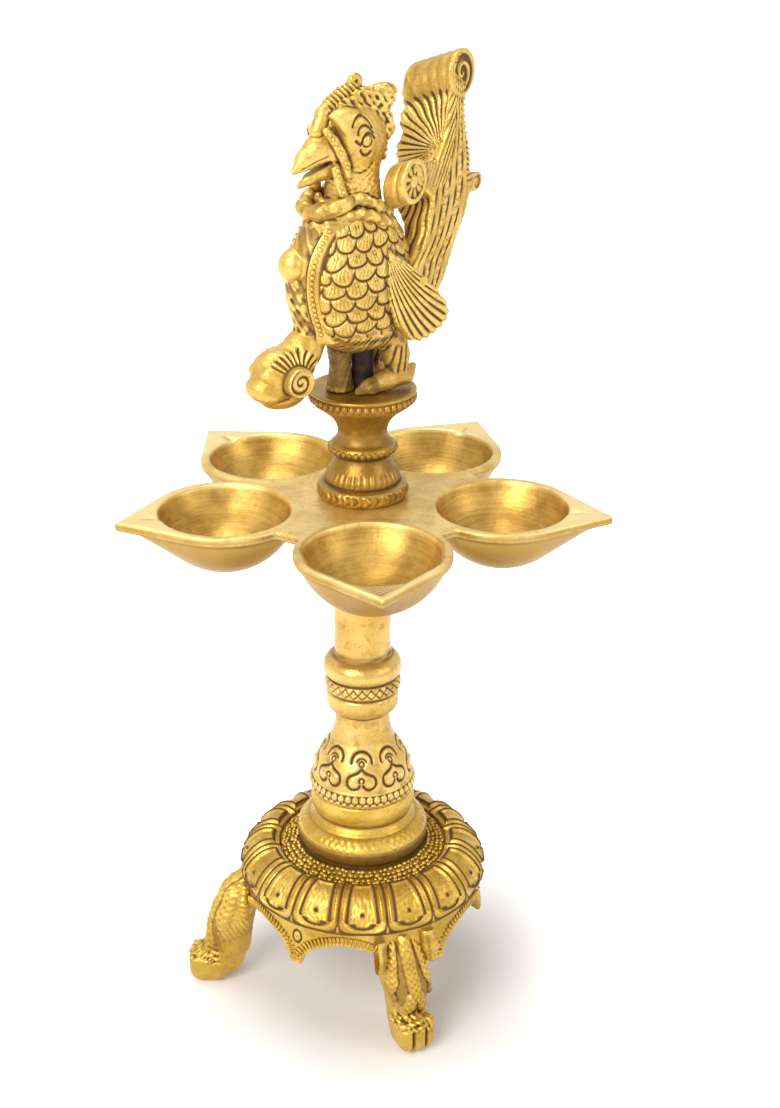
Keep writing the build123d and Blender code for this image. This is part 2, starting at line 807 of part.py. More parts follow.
# Iron tie rod, with the washer and nut that clamp the stack from under the dome
washer_z = boss_z - washer_thickness
nut_z = washer_z - nut_height
with BuildPart() as tie_rod:
    with Locations((0, 0, nut_z - rod_tail)):
        Cylinder(rod_radius, rod_top - nut_z + rod_tail, align=from_bottom)

with BuildPart() as base_washer:
    with BuildSketch(Plane.XY.offset(washer_z)):
        Circle(washer_radius)
        Circle(rod_radius + rod_clearance, mode=Mode.SUBTRACT)
    extrude(amount=washer_thickness)

with BuildPart() as base_nut:
    with BuildSketch(Plane.XY.offset(nut_z)):
        RegularPolygon(nut_across_flats / 2, 6, major_radius=False)
    extrude(amount=nut_height)
    chamfer(base_nut.faces().sort_by(Axis.Z)[0].edges(), nut_chamfer)
    with Locations((0, 0, nut_z)):
        Cylinder(rod_radius + thread_clearance, nut_height, align=from_bottom, mode=Mode.SUBTRACT)

pieces = {
    "base_dome": base_dome.part,
    "leg_left": legs["left"],
    "leg_front": legs["front"],
    "leg_rear": legs["rear"],
    "stem_foot": stem_foot.part,
    "stem_bell": stem_bell.part,
    "upper_stem": upper_stem.part,
    "cup_plate": cup_plate.part,
    "pedestal": pedestal.part,
    "bird_body": bird_body.part,
    "bird_tail": bird_tail.part,
    "tail_pin": tail_pin.part,
    "breast_strap": breast_strap.part,
    "strap_rivet": strap_rivet.part,
    "tie_rod": tie_rod.part,
    "base_washer": base_washer.part,
    "base_nut": base_nut.part,
}
for name, piece in pieces.items():
    piece.label = name
    export_step(piece, "parts/" + name + ".step")
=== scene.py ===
import bpy
import math
import numpy as np
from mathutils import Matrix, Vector


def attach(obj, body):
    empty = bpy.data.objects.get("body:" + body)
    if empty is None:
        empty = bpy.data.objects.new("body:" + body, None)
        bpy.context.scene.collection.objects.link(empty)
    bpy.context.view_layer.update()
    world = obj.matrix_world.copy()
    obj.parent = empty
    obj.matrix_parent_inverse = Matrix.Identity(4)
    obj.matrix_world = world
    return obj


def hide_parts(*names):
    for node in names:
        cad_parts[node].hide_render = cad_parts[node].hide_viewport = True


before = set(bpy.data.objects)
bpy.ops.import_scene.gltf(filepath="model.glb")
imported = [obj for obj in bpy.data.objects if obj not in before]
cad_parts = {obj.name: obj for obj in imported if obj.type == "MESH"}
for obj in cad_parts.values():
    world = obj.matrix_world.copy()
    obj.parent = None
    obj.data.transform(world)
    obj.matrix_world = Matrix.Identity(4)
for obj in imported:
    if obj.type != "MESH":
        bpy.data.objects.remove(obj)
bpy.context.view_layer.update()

mm = 0.001  # sizes below are in millimetres, meshes are in metres
far = 99.0  # a distance beyond any piece


# fields: distances to a shape, under zero inside it

def smooth(a, b, x):
    t = np.clip((x - a) / (b - a), 0, 1)
    return t * t * (3 - 2 * t)


def blendMin(a, b, k):
    h = np.clip(0.5 + 0.5 * (b - a) / k, 0, 1)
    return b + (a - b) * h - k * h * (1 - h)


def blendMax(a, b, k):
    return -blendMin(-a, -b, k)


def ball(p, c, r):
    return np.sqrt(((p - np.array(c)) ** 2).sum(1)) - r


def egg(p, c, radii):
    q = (p - np.array(c)) / np.array(radii)
    k0 = np.sqrt((q ** 2).sum(1)) + 1e-9
    k1 = np.sqrt(((q / np.array(radii)) ** 2).sum(1)) + 1e-9
    return k0 * (k0 - 1) / k1


def taper(p, a, b, r1, r2):  # a rod with a ball of r1 at a and of r2 at b
    a, b = np.array(a, float), np.array(b, float)
    ba = b - a
    l2 = ba @ ba
    rr = r1 - r2
    a2 = l2 - rr * rr
    pa = p - a
    y = pa @ ba
    z = y - l2
    x2 = ((pa * l2 - y[:, None] * ba) ** 2).sum(1)
    y2, z2 = y * y * l2, z * z * l2
    k = np.sign(rr) * rr * rr * x2
    side = (np.sqrt(np.maximum(x2 * a2 / l2, 0)) + y * rr) / l2 - r1
    out = np.where(np.sign(y) * a2 * y2 < k, np.sqrt(x2 + y2) / l2 - r1, side)
    return np.where(np.sign(z) * a2 * z2 > k, np.sqrt(x2 + z2) / l2 - r2, out)


def chain(p, stops, k):  # a bent rod: stops are (x, y, z, r)
    out = None
    for s, t in zip(stops[:-1], stops[1:]):
        d = taper(p, s[:3], t[:3], s[3], t[3])
        out = d if out is None else blendMin(out, d, k)
    return out


def rough(p, scale, seed):  # an uneven field about -1 to 1
    rng = np.random.default_rng(seed)
    return sum(np.sin(p @ k + rng.uniform(0, 6.28)) for k in rng.normal(0, scale, (7, 3))) / 3.2


def teardrop(x, y, r, reach):  # flat distance to a circle with a point on +x
    y = np.abs(y)
    b = r / reach
    a = math.sqrt(1 - b * b)
    k = -b * y + a * x
    d = np.where(k < 0, np.hypot(x, y) - r, a * y + b * x - r)
    return np.where(k > a * reach, np.hypot(x - reach, y), d)


def strokeGap(x, y, points):  # flat distance to a bent line
    best = np.full(np.shape(x), far)
    p = np.array(points, float)
    for a, b in zip(p[:-1], p[1:]):
        d = b - a
        t = np.clip(((x - a[0]) * d[0] + (y - a[1]) * d[1]) / (d @ d), 0, 1)
        best = np.minimum(best, np.hypot(x - a[0] - t * d[0], y - a[1] - t * d[1]))
    return best


def flatShape(x, y, points):  # flat distance to a closed outline
    p = np.array(points, float)
    inside = np.zeros(np.shape(x), bool)
    for a, b in zip(p, np.roll(p, -1, 0)):
        if a[1] == b[1]:
            continue
        hit = (a[1] > y) != (b[1] > y)
        inside ^= hit & (x < (b[0] - a[0]) * (y - a[1]) / (b[1] - a[1]) + a[0])
    d = strokeGap(x, y, np.concatenate([p, p[:1]]))
    return np.where(inside, -d, d)


def groove(d, width):
    return np.exp(-(d / width) ** 2)


def window(x, low, high, soft):
    return smooth(low - soft, low + soft, x) * (1 - smooth(high - soft, high + soft, x))


def wrapTo(angle, period):
    return (angle + period / 2) % period - period / 2


# lines through points

def glide(stops, x):
    xs, ys = np.array(stops, float).T
    m = np.gradient(ys, xs)
    i = np.clip(np.searchsorted(xs, x) - 1, 0, len(xs) - 2)
    h = xs[i + 1] - xs[i]
    t = np.clip((x - xs[i]) / h, 0, 1)
    a, b = ys[i], ys[i + 1]
    return (a * (1 + 2 * t) * (1 - t) ** 2 + b * t * t * (3 - 2 * t)
            + h * m[i] * t * (1 - t) ** 2 - h * m[i + 1] * t * t * (1 - t))


def runOf(points):  # length along a line up to each of its points
    return np.concatenate([[0], np.cumsum(np.sqrt((np.diff(points, axis=0) ** 2).sum(1)))])


def curveThrough(points, count):
    p = np.array(points, float)
    t = runOf(p)
    s = np.linspace(0, t[-1], count)
    return np.stack([glide(np.stack([t, p[:, i]], 1), s) for i in range(p.shape[1])], 1)


def spaced(points, step):
    p = np.array(points, float)
    t = runOf(p)
    s = np.linspace(0, t[-1], max(2, int(round(t[-1] / step)) + 1))
    return np.stack([np.interp(s, t, p[:, i]) for i in range(p.shape[1])], 1)


def archLine(cx, cy, r, start, end, count):
    a = np.radians(np.linspace(start, end, count))
    return np.stack([cx + r * np.cos(a), cy + r * np.sin(a)], 1)


# meshes

def gridFaces(rows, cols, closed=False):  # rows run round, closed joins the last to the first
    i = np.arange(rows if closed else rows - 1)[:, None]
    j = np.arange(cols)[None, :]
    m, n = (i + 1) % rows, (j + 1) % cols
    return np.stack([i * cols + j, i * cols + n, m * cols + n, m * cols + j], -1).reshape(-1, 4)


def linksOf(quads):
    a = np.concatenate([quads, np.roll(quads, 1, 1)]).ravel()
    b = np.concatenate([np.roll(quads, 1, 1), quads]).ravel()
    return a, b


def relax(verts, links, rounds, share=0.5):
    a, b = links
    n = len(verts)
    count = np.maximum(np.bincount(a, minlength=n), 1)[:, None]
    p = verts.copy()
    for _ in range(rounds):
        mean = np.stack([np.bincount(a, weights=p[b, i], minlength=n) for i in range(3)], 1) / count
        p += share * (mean - p)
    return p


def normalsOf(verts, quads):
    f = np.cross(verts[quads[:, 2]] - verts[quads[:, 0]], verts[quads[:, 3]] - verts[quads[:, 1]])
    n = np.zeros_like(verts)
    for c in range(4):
        for i in range(3):
            n[:, i] += np.bincount(quads[:, c], weights=f[:, i], minlength=len(verts))
    return n / (np.sqrt((n ** 2).sum(1, keepdims=True)) + 1e-12)


wearRounds = {6: 1.0, 40: 0.7}  # rounds of smoothing, and how much that width of hollow counts


def wearOf(verts, quads):  # over zero in a hollow, under zero on a ridge
    links = linksOf(quads)
    n = normalsOf(verts, quads)
    total = np.zeros(len(verts))
    for rounds, gain in wearRounds.items():
        total += gain * ((relax(verts, links, rounds) - verts) * n).sum(1)
    return total


def linked(name, data):
    thing = bpy.data.objects.new(name, data)
    bpy.context.scene.collection.objects.link(thing)
    return thing


def markPoints(mesh, key, values):  # a number or a vector for each point
    values = np.asarray(values, np.float32)
    kind, entry = ("FLOAT_VECTOR", "vector") if values.ndim > 1 else ("FLOAT", "value")
    mesh.attributes.new(key, kind, "POINT").data.foreach_set(entry, values.ravel())


def meshOf(name, verts, quads, marks):
    mesh = bpy.data.meshes.new(name)
    mesh.vertices.add(len(verts))
    mesh.vertices.foreach_set("co", (verts * mm).astype(np.float32).ravel())
    mesh.loops.add(quads.size)
    mesh.loops.foreach_set("vertex_index", quads.astype(np.int32).ravel())
    mesh.polygons.add(len(quads))
    mesh.polygons.foreach_set("loop_start", np.arange(0, quads.size, 4, dtype=np.int32))
    mesh.polygons.foreach_set("loop_total", np.full(len(quads), 4, np.int32))
    mesh.update(calc_edges=True)
    mesh.polygons.foreach_set("use_smooth", np.ones(len(quads), bool))
    for key, values in marks.items():
        markPoints(mesh, key, values)
    return mesh


def place(mesh, body, node, finish=None):
    piece = linked(mesh.name, mesh)
    if finish:
        mesh.materials.append(finish)
    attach(piece, body)
    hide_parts(node)
    print("piece", piece.name, len(mesh.polygons), "faces")


# sculpting: a field is sampled on a grid, and its zero surface becomes quads

corners = np.array([(x, y, z) for x in (0, 1) for y in (0, 1) for z in (0, 1)])
fineCells = 4  # fine cells along one coarse cell
batch = 200000


def sampled(field, points):
    return np.concatenate([field(part) for part in np.array_split(points, max(1, len(points) // batch))])


def fieldGrid(field, low, high, step):  # values near the surface, only a sign elsewhere
    n = fineCells
    big = n * step
    cells = np.ceil((high - low) / big).astype(int)
    axes = [low[i] + big * (np.arange(cells[i]) + 0.5) for i in range(3)]
    middles = np.stack(np.meshgrid(*axes, indexing="ij"), -1).reshape(-1, 3)
    coarse = sampled(field, middles).reshape(cells)
    near = np.argwhere(np.abs(coarse) < big * 1.3)
    grid = np.full(cells * n + 1, 1.0)
    grid[:-1, :-1, :-1] = np.repeat(np.repeat(np.repeat(np.sign(coarse), n, 0), n, 1), n, 2)
    wanted = np.zeros(grid.shape, bool)
    for offset in np.ndindex(n + 1, n + 1, n + 1):
        wanted[tuple((near * n + offset).T)] = True
    grid[wanted] = sampled(field, low + step * np.argwhere(wanted))
    return grid


def surfacePoints(grid):  # one point in each cell that the surface crosses
    inside = grid < 0
    sx, sy, sz = np.array(grid.shape) - 1
    corner = [inside[x:sx + x, y:sy + y, z:sz + z] for x, y, z in corners]
    crossed = np.any(corner, 0) & ~np.all(corner, 0)
    cell = np.argwhere(crossed)
    index = np.full(crossed.shape, -1, np.int64)
    index[crossed] = np.arange(len(cell))
    values = np.stack([grid[tuple((cell + c).T)] for c in corners], 1)
    total = np.zeros((len(cell), 3))
    count = np.zeros(len(cell))
    for a in range(8):
        for b in range(a + 1, 8):
            if np.abs(corners[a] - corners[b]).sum() != 1:
                continue
            va, vb = values[:, a], values[:, b]
            cut = (va < 0) != (vb < 0)
            t = np.where(cut, va / np.where(cut, va - vb, 1), 0)
            total += np.where(cut[:, None], corners[a] + t[:, None] * (corners[b] - corners[a]), 0)
            count += cut
    return cell + total / count[:, None], index


def surfaceFaces(inside, index):  # a quad round each grid edge that the surface crosses
    size = inside.shape
    faces = []
    for axis in range(3):
        u, v = (axis + 1) % 3, (axis + 2) % 3
        here = [slice(1, n - 1) for n in size]
        there = list(here)
        here[axis], there[axis] = slice(0, size[axis] - 1), slice(1, size[axis])
        first, second = inside[tuple(here)], inside[tuple(there)]
        for flip in (False, True):
            hit = np.argwhere(second & ~first if flip else first & ~second)
            base = hit + np.array([0 if i == axis else 1 for i in range(3)])
            ring = []
            for du, dv in ((-1, -1), (0, -1), (0, 0), (-1, 0)):
                at = base.copy()
                at[:, u] += du
                at[:, v] += dv
                ring.append(index[tuple(at.T)])
            quad = np.stack(ring, 1)
            faces.append(quad[:, ::-1] if flip else quad)
    return np.concatenate(faces)


def settle(field, verts, step):  # slides points along the slope on to the surface
    eps = 0.12 * step
    level = field(verts)
    slope = np.stack([field(verts + eps * axis) - level for axis in np.eye(3)], 1) / eps
    push = level[:, None] * slope / np.maximum((slope ** 2).sum(1, keepdims=True), 0.05)
    length = np.sqrt((push ** 2).sum(1, keepdims=True))
    return verts - push * np.minimum(1, 0.7 * step / np.maximum(length, 1e-9))


def sculpt(field, low, high, step):
    low, high = np.array(low, float), np.array(high, float)
    grid = fieldGrid(field, low, high, step)
    spots, index = surfacePoints(grid)
    faces = surfaceFaces(grid < 0, index)
    verts = relax(low + step * spots, linksOf(faces), 1, 0.4)
    return settle(field, settle(field, verts, step), step), faces


def sculptPiece(name, field, low, high, step, where, body, node, finish, ink=None):
    verts, quads = sculpt(field, low, high, step)
    marks = {"wear": wearOf(verts, quads), "ink": ink(verts) if ink else np.zeros(len(verts))}
    place(meshOf(name, where(verts), quads, marks), body, node, finish)


# shader maths: a socket that can be added, multiplied and so on

class Wire:
    def __init__(self, finish, socket):
        self.finish, self.socket = finish, socket

    def calc(self, how, a, b):
        return self.finish.node("ShaderNodeMath", {"operation": how}, {0: a, 1: b})

    def __add__(self, other):
        return self.calc("ADD", self, other)

    def __radd__(self, other):
        return self.calc("ADD", other, self)

    def __sub__(self, other):
        return self.calc("SUBTRACT", self, other)

    def __rsub__(self, other):
        return self.calc("SUBTRACT", other, self)

    def __mul__(self, other):
        return self.calc("MULTIPLY", self, other)

    def __rmul__(self, other):
        return self.calc("MULTIPLY", other, self)

    def atLeast(self, other):
        return self.calc("MAXIMUM", self, other)

    def clamp(self):
        return self.finish.node("ShaderNodeClamp", {}, {0: self})

    def span(self, low, high):  # eased from 0 at low to 1 at high
        ease = {"interpolation_type": "SMOOTHSTEP"}
        return self.finish.node("ShaderNodeMapRange", ease, {0: self, 1: low, 2: high})


class Finish:
    def __init__(self, owner, shader="Principled BSDF"):
        owner.use_nodes = True
        self.owner = owner
        self.tree = owner.node_tree
        self.shader = self.tree.nodes[shader]

    def node(self, kind, settings, inputs, out=0):
        n = self.tree.nodes.new(kind)
        for key, value in settings.items():
            setattr(n, key, value)
        for key, value in inputs.items():
            self.feed(n.inputs[key], value)
        return Wire(self, n.outputs[out])

    def feed(self, socket, value):
        if isinstance(value, Wire):
            self.tree.links.new(value.socket, socket)
        elif socket.type == "RGBA":
            socket.default_value = (*value, 1)
        else:
            socket.default_value = value

    def mix(self, factor, a, b):
        return self.node("ShaderNodeMix", {"data_type": "RGBA"}, {0: factor, 6: a, 7: b}, 2)

    def attribute(self, name, out="Fac"):
        return self.node("ShaderNodeAttribute", {"attribute_name": name}, {}, out)

    def place(self):
        return self.node("ShaderNodeTexCoord", {}, {}, "Object")

    def ray(self, kind):
        return self.node("ShaderNodeLightPath", {}, {}, kind)

    def noise(self, where, scale, detail, roughness=0.55):
        inputs = {"Vector": where, "Scale": scale, "Detail": detail, "Roughness": roughness}
        return self.node("ShaderNodeTexNoise", {}, inputs)

    def stretch(self, where, scale):
        return self.node("ShaderNodeMapping", {}, {"Vector": where, "Scale": scale})

    def set(self, **inputs):
        for key, value in inputs.items():
            self.feed(self.shader.inputs[key.replace("_", " ")], value)

    def bump(self, height, strength, distance=0.0003):
        inputs = {"Strength": strength, "Distance": distance, "Height": height}
        self.set(Normal=self.node("ShaderNodeBump", {}, inputs))


# brass and iron
brassLook = {"gold": (0.55, 0.33, 0.050), "pale": (0.76, 0.53, 0.140), "deep": (0.27, 0.125, 0.014),
             "soot": (0.072, 0.033, 0.008), "roughness": 0.36, "metallic": 0.62, "wearGain": 4.2,
             "stain": 0.4, "grain": 1.0}
ironLook = {"dark": (0.018, 0.009, 0.007), "rust": (0.060, 0.027, 0.016), "roughness": 0.7, "metallic": 0.35,
            "nodes": ("tie_rod", "base_washer", "base_nut")}


def brassFinish(name, **changes):
    look = {**brassLook, **changes}
    f = Finish(bpy.data.materials.new(name))
    where = f.place()
    wear = f.attribute("wear")
    ink = f.attribute("ink").clamp()
    cloud = f.noise(where, 70.0, 4.0)
    fleck = f.noise(where, 1300.0, 2.0)
    pits = f.noise(where, 480.0, 3.0)
    stain = f.noise(where, 190.0, 5.0, 0.65)
    # hollow: patina in the hollows, plus the marked lines and painted shade that each piece stores per point
    hollow = ((wear * look["wearGain"]).span(0.05, 1.0) + ink * (0.72 + 0.5 * pits)).clamp()
    ridge = (wear * -look["wearGain"]).span(0.05, 0.8)
    specks = fleck.span(0.54, 0.74) * (0.5 * look["grain"]) + stain.span(0.50, 0.74) * look["stain"]
    color = f.mix(cloud.span(0.35, 0.70), look["gold"], look["pale"])
    color = f.mix(ridge * 0.6, color, look["pale"])
    color = f.mix(specks.clamp(), color, look["deep"])
    color = f.mix(hollow, color, look["deep"])
    color = f.mix((hollow * hollow * (0.55 + 0.6 * cloud)).clamp(), color, look["soot"])
    uneven = 0.18 * (cloud - 0.5) + 0.16 * (pits - 0.5) + 0.25 * hollow - 0.05 * ridge
    f.set(Base_Color=color, Metallic=look["metallic"] - 0.3 * hollow, Roughness=look["roughness"] + uneven)
    f.bump(fleck * 0.6 + pits, 0.55 * look["grain"])
    return f.owner


def ironFinish(name, look):
    f = Finish(bpy.data.materials.new(name))
    grain = f.noise(f.place(), 420.0, 4.0)
    f.set(Base_Color=f.mix(grain.span(0.4, 0.7), look["dark"], look["rust"]),
          Roughness=look["roughness"] + 0.2 * (grain - 0.5), Metallic=look["metallic"])
    f.bump(grain, 0.3)
    return f.owner


brass = brassFinish("satinBrass")
turnedBrass = brassFinish("turnedBrass", gold=(0.57, 0.35, 0.070), pale=(0.76, 0.53, 0.165),
                          roughness=0.34, stain=0.65, grain=0.8)
darkBrass = brassFinish("darkBrass", gold=(0.27, 0.140, 0.012), pale=(0.48, 0.285, 0.045), stain=0.6,
                        grain=0.8)
baseBrass = brassFinish("baseBrass", gold=(0.54, 0.325, 0.034), pale=(0.74, 0.50, 0.100), metallic=0.66,
                        wearGain=1.9, grain=0.9)
iron = ironFinish("darkIron", ironLook)

for node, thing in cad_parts.items():
    thing.data.materials.clear()
    thing.data.materials.append(iron if node in ironLook["nodes"] else brass)
print("finishes ready")


# turned sections: a closed outline spun round Z with relief on it
rodBore = 3.5


def spin(name, outline, relief, columns, step, body, node, finish, under=()):
    skin = spaced(outline, step)
    low, high = skin[0], skin[-1]
    foot = [high, *under, (rodBore, under[-1][1] if under else high[1])]
    inner = np.concatenate([spaced(foot, 2.2 if under else 1.2)[1:],
                            spaced([foot[-1], (rodBore, low[1])], 4.0)[1:],
                            spaced([(rodBore, low[1]), low], 1.2)[1:-1]])
    loop = np.concatenate([skin, inner])
    along = np.roll(loop, -1, 0) - np.roll(loop, 1, 0)
    along /= np.hypot(*along.T)[:, None]
    normal = np.stack([along[:, 1], -along[:, 0]], 1)
    theta = np.linspace(-math.pi, math.pi, columns, endpoint=False)
    r, z = np.repeat(loop[:, :1], columns, 1), np.repeat(loop[:, 1:], columns, 1)
    push, ink = np.zeros_like(r), np.zeros_like(r)
    n = len(skin)
    push[:n], ink[:n] = relief(np.repeat(theta[None, :], n, 0), r[:n], z[:n])
    r, z = r + push * normal[:, :1], z + push * normal[:, 1:]
    verts = np.stack([r * np.cos(theta), r * np.sin(theta), z], -1).reshape(-1, 3)
    quads = gridFaces(len(loop), columns, closed=True)
    place(meshOf(name, verts, quads, {"wear": wearOf(verts, quads), "ink": ink.ravel()}), body, node, finish)


# stem foot
footSizes = {"skin": [(17.2, 55.5), (18.6, 55.7), (20.0, 57.0), (20.75, 59.0), (20.8, 60.6), (20.2, 62.4),
                      (18.6, 64.0), (16.9, 65.2), (15.7, 66.4), (15.2, 67.6), (15.5, 68.4), (16.1, 69.0),
                      (16.3, 70.0), (16.25, 73.4), (15.9, 74.5), (15.0, 75.0)],
             "marks": 52, "seam": 67.6, "columns": 420, "step": 0.28}


def footRelief(theta, r, z):
    s = footSizes
    band = window(z, 61.6, 64.6, 0.3) * (r > 16.8)
    wave = np.sin(theta * s["marks"] + 1.1 * np.sin(3 * theta))
    wave = wave * np.sin((z - 60.9) * 2.1 + 0.4 * np.sin(theta * 17))
    line = groove(z - 61.0, 0.25) * (r > 19) + groove(z - 65.0, 0.25) * (r > 16.5)
    seam = groove(z - s["seam"], 0.5) * (r < 15.6)
    patchy = 0.6 + 0.4 * np.sin(5 * theta + 0.7) * np.sin(11 * theta)
    push = band * (0.12 + 0.17 * wave * patchy) - 0.16 * line
    shade = 0.75 * smooth(61.4, 60.4, z) * (r > 17)
    return push, band * 0.22 * (wave < -0.2) * patchy + 0.25 * line + 0.6 * seam + shade


spin("stemFoot", curveThrough(footSizes["skin"], 90), footRelief, footSizes["columns"], footSizes["step"],
     "stem_foot", "stem_foot", baseBrass)


# bell of the stem
bellSizes = {"skin": [(15.2, 75.0), (16.0, 75.2), (16.4, 76.0), (16.45, 78.6), (16.1, 79.8), (15.7, 80.4),
                      (15.45, 82.2), (14.9, 85.0), (13.5, 88.0), (11.4, 91.2), (9.6, 94.4), (8.75, 97.6),
                      (8.5, 100.4), (8.5, 102.8)],
             "collar": [(8.5, 102.8), (9.4, 103.4), (10.6, 104.2), (11.25, 105.8), (11.3, 108.2),
                        (11.0, 109.5), (10.3, 110.0)],
             "spade": [(0.0, 7.3), (-1.0, 6.2), (-2.6, 5.5), (-4.2, 4.6), (-4.75, 3.0), (-4.2, 1.3),
                       (-2.7, 0.55), (-1.3, 0.9), (-0.6, 2.0)],
             "motifs": 8, "motifFoot": 81.0, "beads": 44, "columns": 440, "step": 0.25}
arcStroke = archLine(0, 8.6, 3.3, 4, 176, 11)
dropStroke = archLine(0, 8.5, 0.8, 0, 360, 9)
haloStroke = archLine(0, 8.2, 1.75, 35, 145, 7)
spadeStroke = curveThrough(bellSizes["spade"], 18)
seedStroke = archLine(0, 3.6, 0.85, -60, 240, 9)


def beadRow(theta, z, count, shift, level, half, rise):  # round beads in a row, 0 between them
    x = wrapTo(theta * count / (2 * math.pi) + shift, 1.0) * 2.2
    return np.sqrt(np.maximum(0, 1 - (x / half) ** 2 - ((z - level) / rise) ** 2))


def bellRelief(theta, r, z):
    s = bellSizes
    x = wrapTo(theta + math.pi / 2 + 0.02, 2 * math.pi / s["motifs"]) * r
    y = (z - s["motifFoot"]) * 1.02
    side = np.minimum(strokeGap(x, y, spadeStroke), strokeGap(-x, y, spadeStroke))
    thin = np.maximum(groove(strokeGap(x, y, dropStroke), 0.3), groove(strokeGap(x, y, haloStroke), 0.3))
    cut = groove(strokeGap(x, y, arcStroke), 0.42) + groove(side, 0.46)
    cut = np.maximum(cut, 0.8 * thin)
    cut = np.maximum(cut, 0.9 * groove(strokeGap(x, y, seedStroke), 0.32))
    lobes = groove(np.hypot(np.abs(x) - 2.5, y - 2.9) / 1.3, 1.0)
    zone = window(z, 80.9, 94.6, 0.3)
    beads = beadRow(theta, z, s["beads"], 0.0, 78.2, 1.05, 1.35)
    small = beadRow(theta, z, s["beads"], 0.5, 76.1, 0.9, 0.8)
    band = window(z, 75.7, 79.7, 0.25) * (r > 14)
    push = zone * (0.3 * lobes - 0.6 * np.minimum(cut, 1.1)) + band * (0.75 * beads + 0.5 * small - 0.35)
    return push, zone * np.minimum(cut, 1) * 0.95 + band * 0.35 * (beads + small < 0.15)


bellSkin = np.concatenate([curveThrough(bellSizes["skin"], 120), curveThrough(bellSizes["collar"], 40)[1:]])
spin("stemBell", bellSkin, bellRelief, bellSizes["columns"], bellSizes["step"], "stem_bell", "stem_bell",
     turnedBrass)


# upper stem with its crossed band
stemSizes = {"skin": [(10.2, 110.0), (11.0, 110.3), (11.5, 111.2), (11.5, 114.0), (11.1, 114.9),
                      (10.9, 115.3), (11.6, 115.9), (12.15, 117.2), (12.2, 118.6), (11.7, 120.2),
                      (10.6, 121.5), (9.5, 122.3), (8.9, 123.4), (8.75, 126.0),
                      (8.9, 140.0), (9.1, 155.0), (9.3, 167.4)],
             "crosses": 26, "crossMiddle": 112.75, "columns": 360, "step": 0.35}


def stemRelief(theta, r, z):
    s = stemSizes
    band = window(z, 111.1, 114.4, 0.25) * (r > 10.6)
    u, v = theta * s["crosses"] / 2, z - s["crossMiddle"]
    cross = np.minimum(np.abs(np.sin(u + v)), np.abs(np.sin(u - v)))
    worn = 0.7 + 0.3 * np.sin(theta + 1.9)
    # painted shade: a dark line under the overhanging bulge at z 115.2, and darker towards the stem's foot in
    # the collar
    seam = 0.9 * smooth(111.3, 110.6, z) + 0.7 * groove(z - 115.2, 0.45)
    hammered = 0.05 * np.sin(5 * theta + 0.31 * z) * np.sin(0.27 * z + 2 * theta)
    hammered = hammered + 0.035 * np.sin(9 * theta - 0.5 * z)
    push = band * worn * (0.6 * smooth(0.1, 0.6, cross) - 0.36) + hammered * (z > 123)
    return push, band * worn * 0.75 * (1 - smooth(0.08, 0.35, cross)) + seam


spin("upperStem", curveThrough(stemSizes["skin"], 150), stemRelief, stemSizes["columns"], stemSizes["step"],
     "upper_stem", "upper_stem", turnedBrass)


# pedestal under the bird
pedestalSizes = {"foot": [(11.6, 175.0), (12.7, 175.2), (13.3, 176.2), (13.35, 178.0), (12.9, 179.2),
                          (11.6, 179.7)],
                 "flare": [(11.6, 179.7), (10.9, 180.0), (11.1, 180.6), (11.0, 181.6), (10.2, 183.4),
                           (9.0, 185.6), (8.2, 187.4), (8.0, 188.4), (8.8, 188.9), (9.7, 189.8),
                           (9.9, 190.6), (9.4, 191.6), (8.3, 192.6), (7.5, 194.0), (7.3, 195.4),
                           (7.6, 197.2), (8.8, 199.4), (11.0, 201.6), (13.2, 203.2), (14.5, 204.2),
                           (15.0, 205.0), (15.1, 206.2), (15.3, 207.2), (15.8, 207.7), (15.7, 208.3),
                           (15.0, 208.5), (13.0, 208.3), (9.0, 208.3)],
                 "strokes": 34, "leaves": 26, "cups": 18, "columns": 400, "step": 0.3}


def pedestalRelief(theta, r, z):
    s = pedestalSizes
    stroke = np.cos(theta * s["strokes"])
    fan = window(z, 180.6, 184.0, 0.6)
    leaf = np.cos(theta * s["leaves"] + 1.6 * np.abs(z - 177.3)) * np.cos(theta * s["leaves"] / 2)
    ring = window(z, 175.9, 178.9, 0.3) * (r > 12)
    lip = groove(z - 180.0, 0.22) * (r < 11.6) + groove(z - 188.3, 0.3) * (r < 9)
    cups = np.abs(np.cos(theta * s["cups"])) * window(z, 199.5, 203.5, 0.8)
    push = fan * 0.13 * stroke + ring * 0.3 * leaf - 0.1 * cups
    return push, fan * 0.3 * (stroke < -0.5) + ring * 0.45 * (leaf < -0.25) + 0.5 * lip


pedestalSkin = np.concatenate([curveThrough(pedestalSizes["foot"], 40),
                               curveThrough(pedestalSizes["flare"], 120)[1:]])
spin("pedestalSpool", pedestalSkin, pedestalRelief, pedestalSizes["columns"], pedestalSizes["step"],
     "pedestal", "pedestal", darkBrass)


# small beads set on points by Geometry Nodes
beadSizes = {"rings": 7, "columns": 9, "pole": 0.02}


def makeBead():  # a unit bead, dark towards its seat
    s = beadSizes
    lat = np.linspace(-math.pi / 2, math.pi / 2, s["rings"])
    lat[0], lat[-1] = lat[0] + s["pole"], lat[-1] - s["pole"]
    lon = np.linspace(0, 2 * math.pi, s["columns"], endpoint=False)
    a, o = np.meshgrid(lat, lon, indexing="ij")
    verts = np.stack([np.cos(a) * np.cos(o), np.cos(a) * np.sin(o), np.sin(a)], -1).reshape(-1, 3)
    height = np.sin(a).ravel()
    marks = {"wear": 0.20 - 0.30 * smooth(-0.3, 0.9, height), "ink": 0.5 * (height < 0.12)}
    return linked("bead", meshOf("bead", verts, gridFaces(s["rings"], s["columns"]), marks))


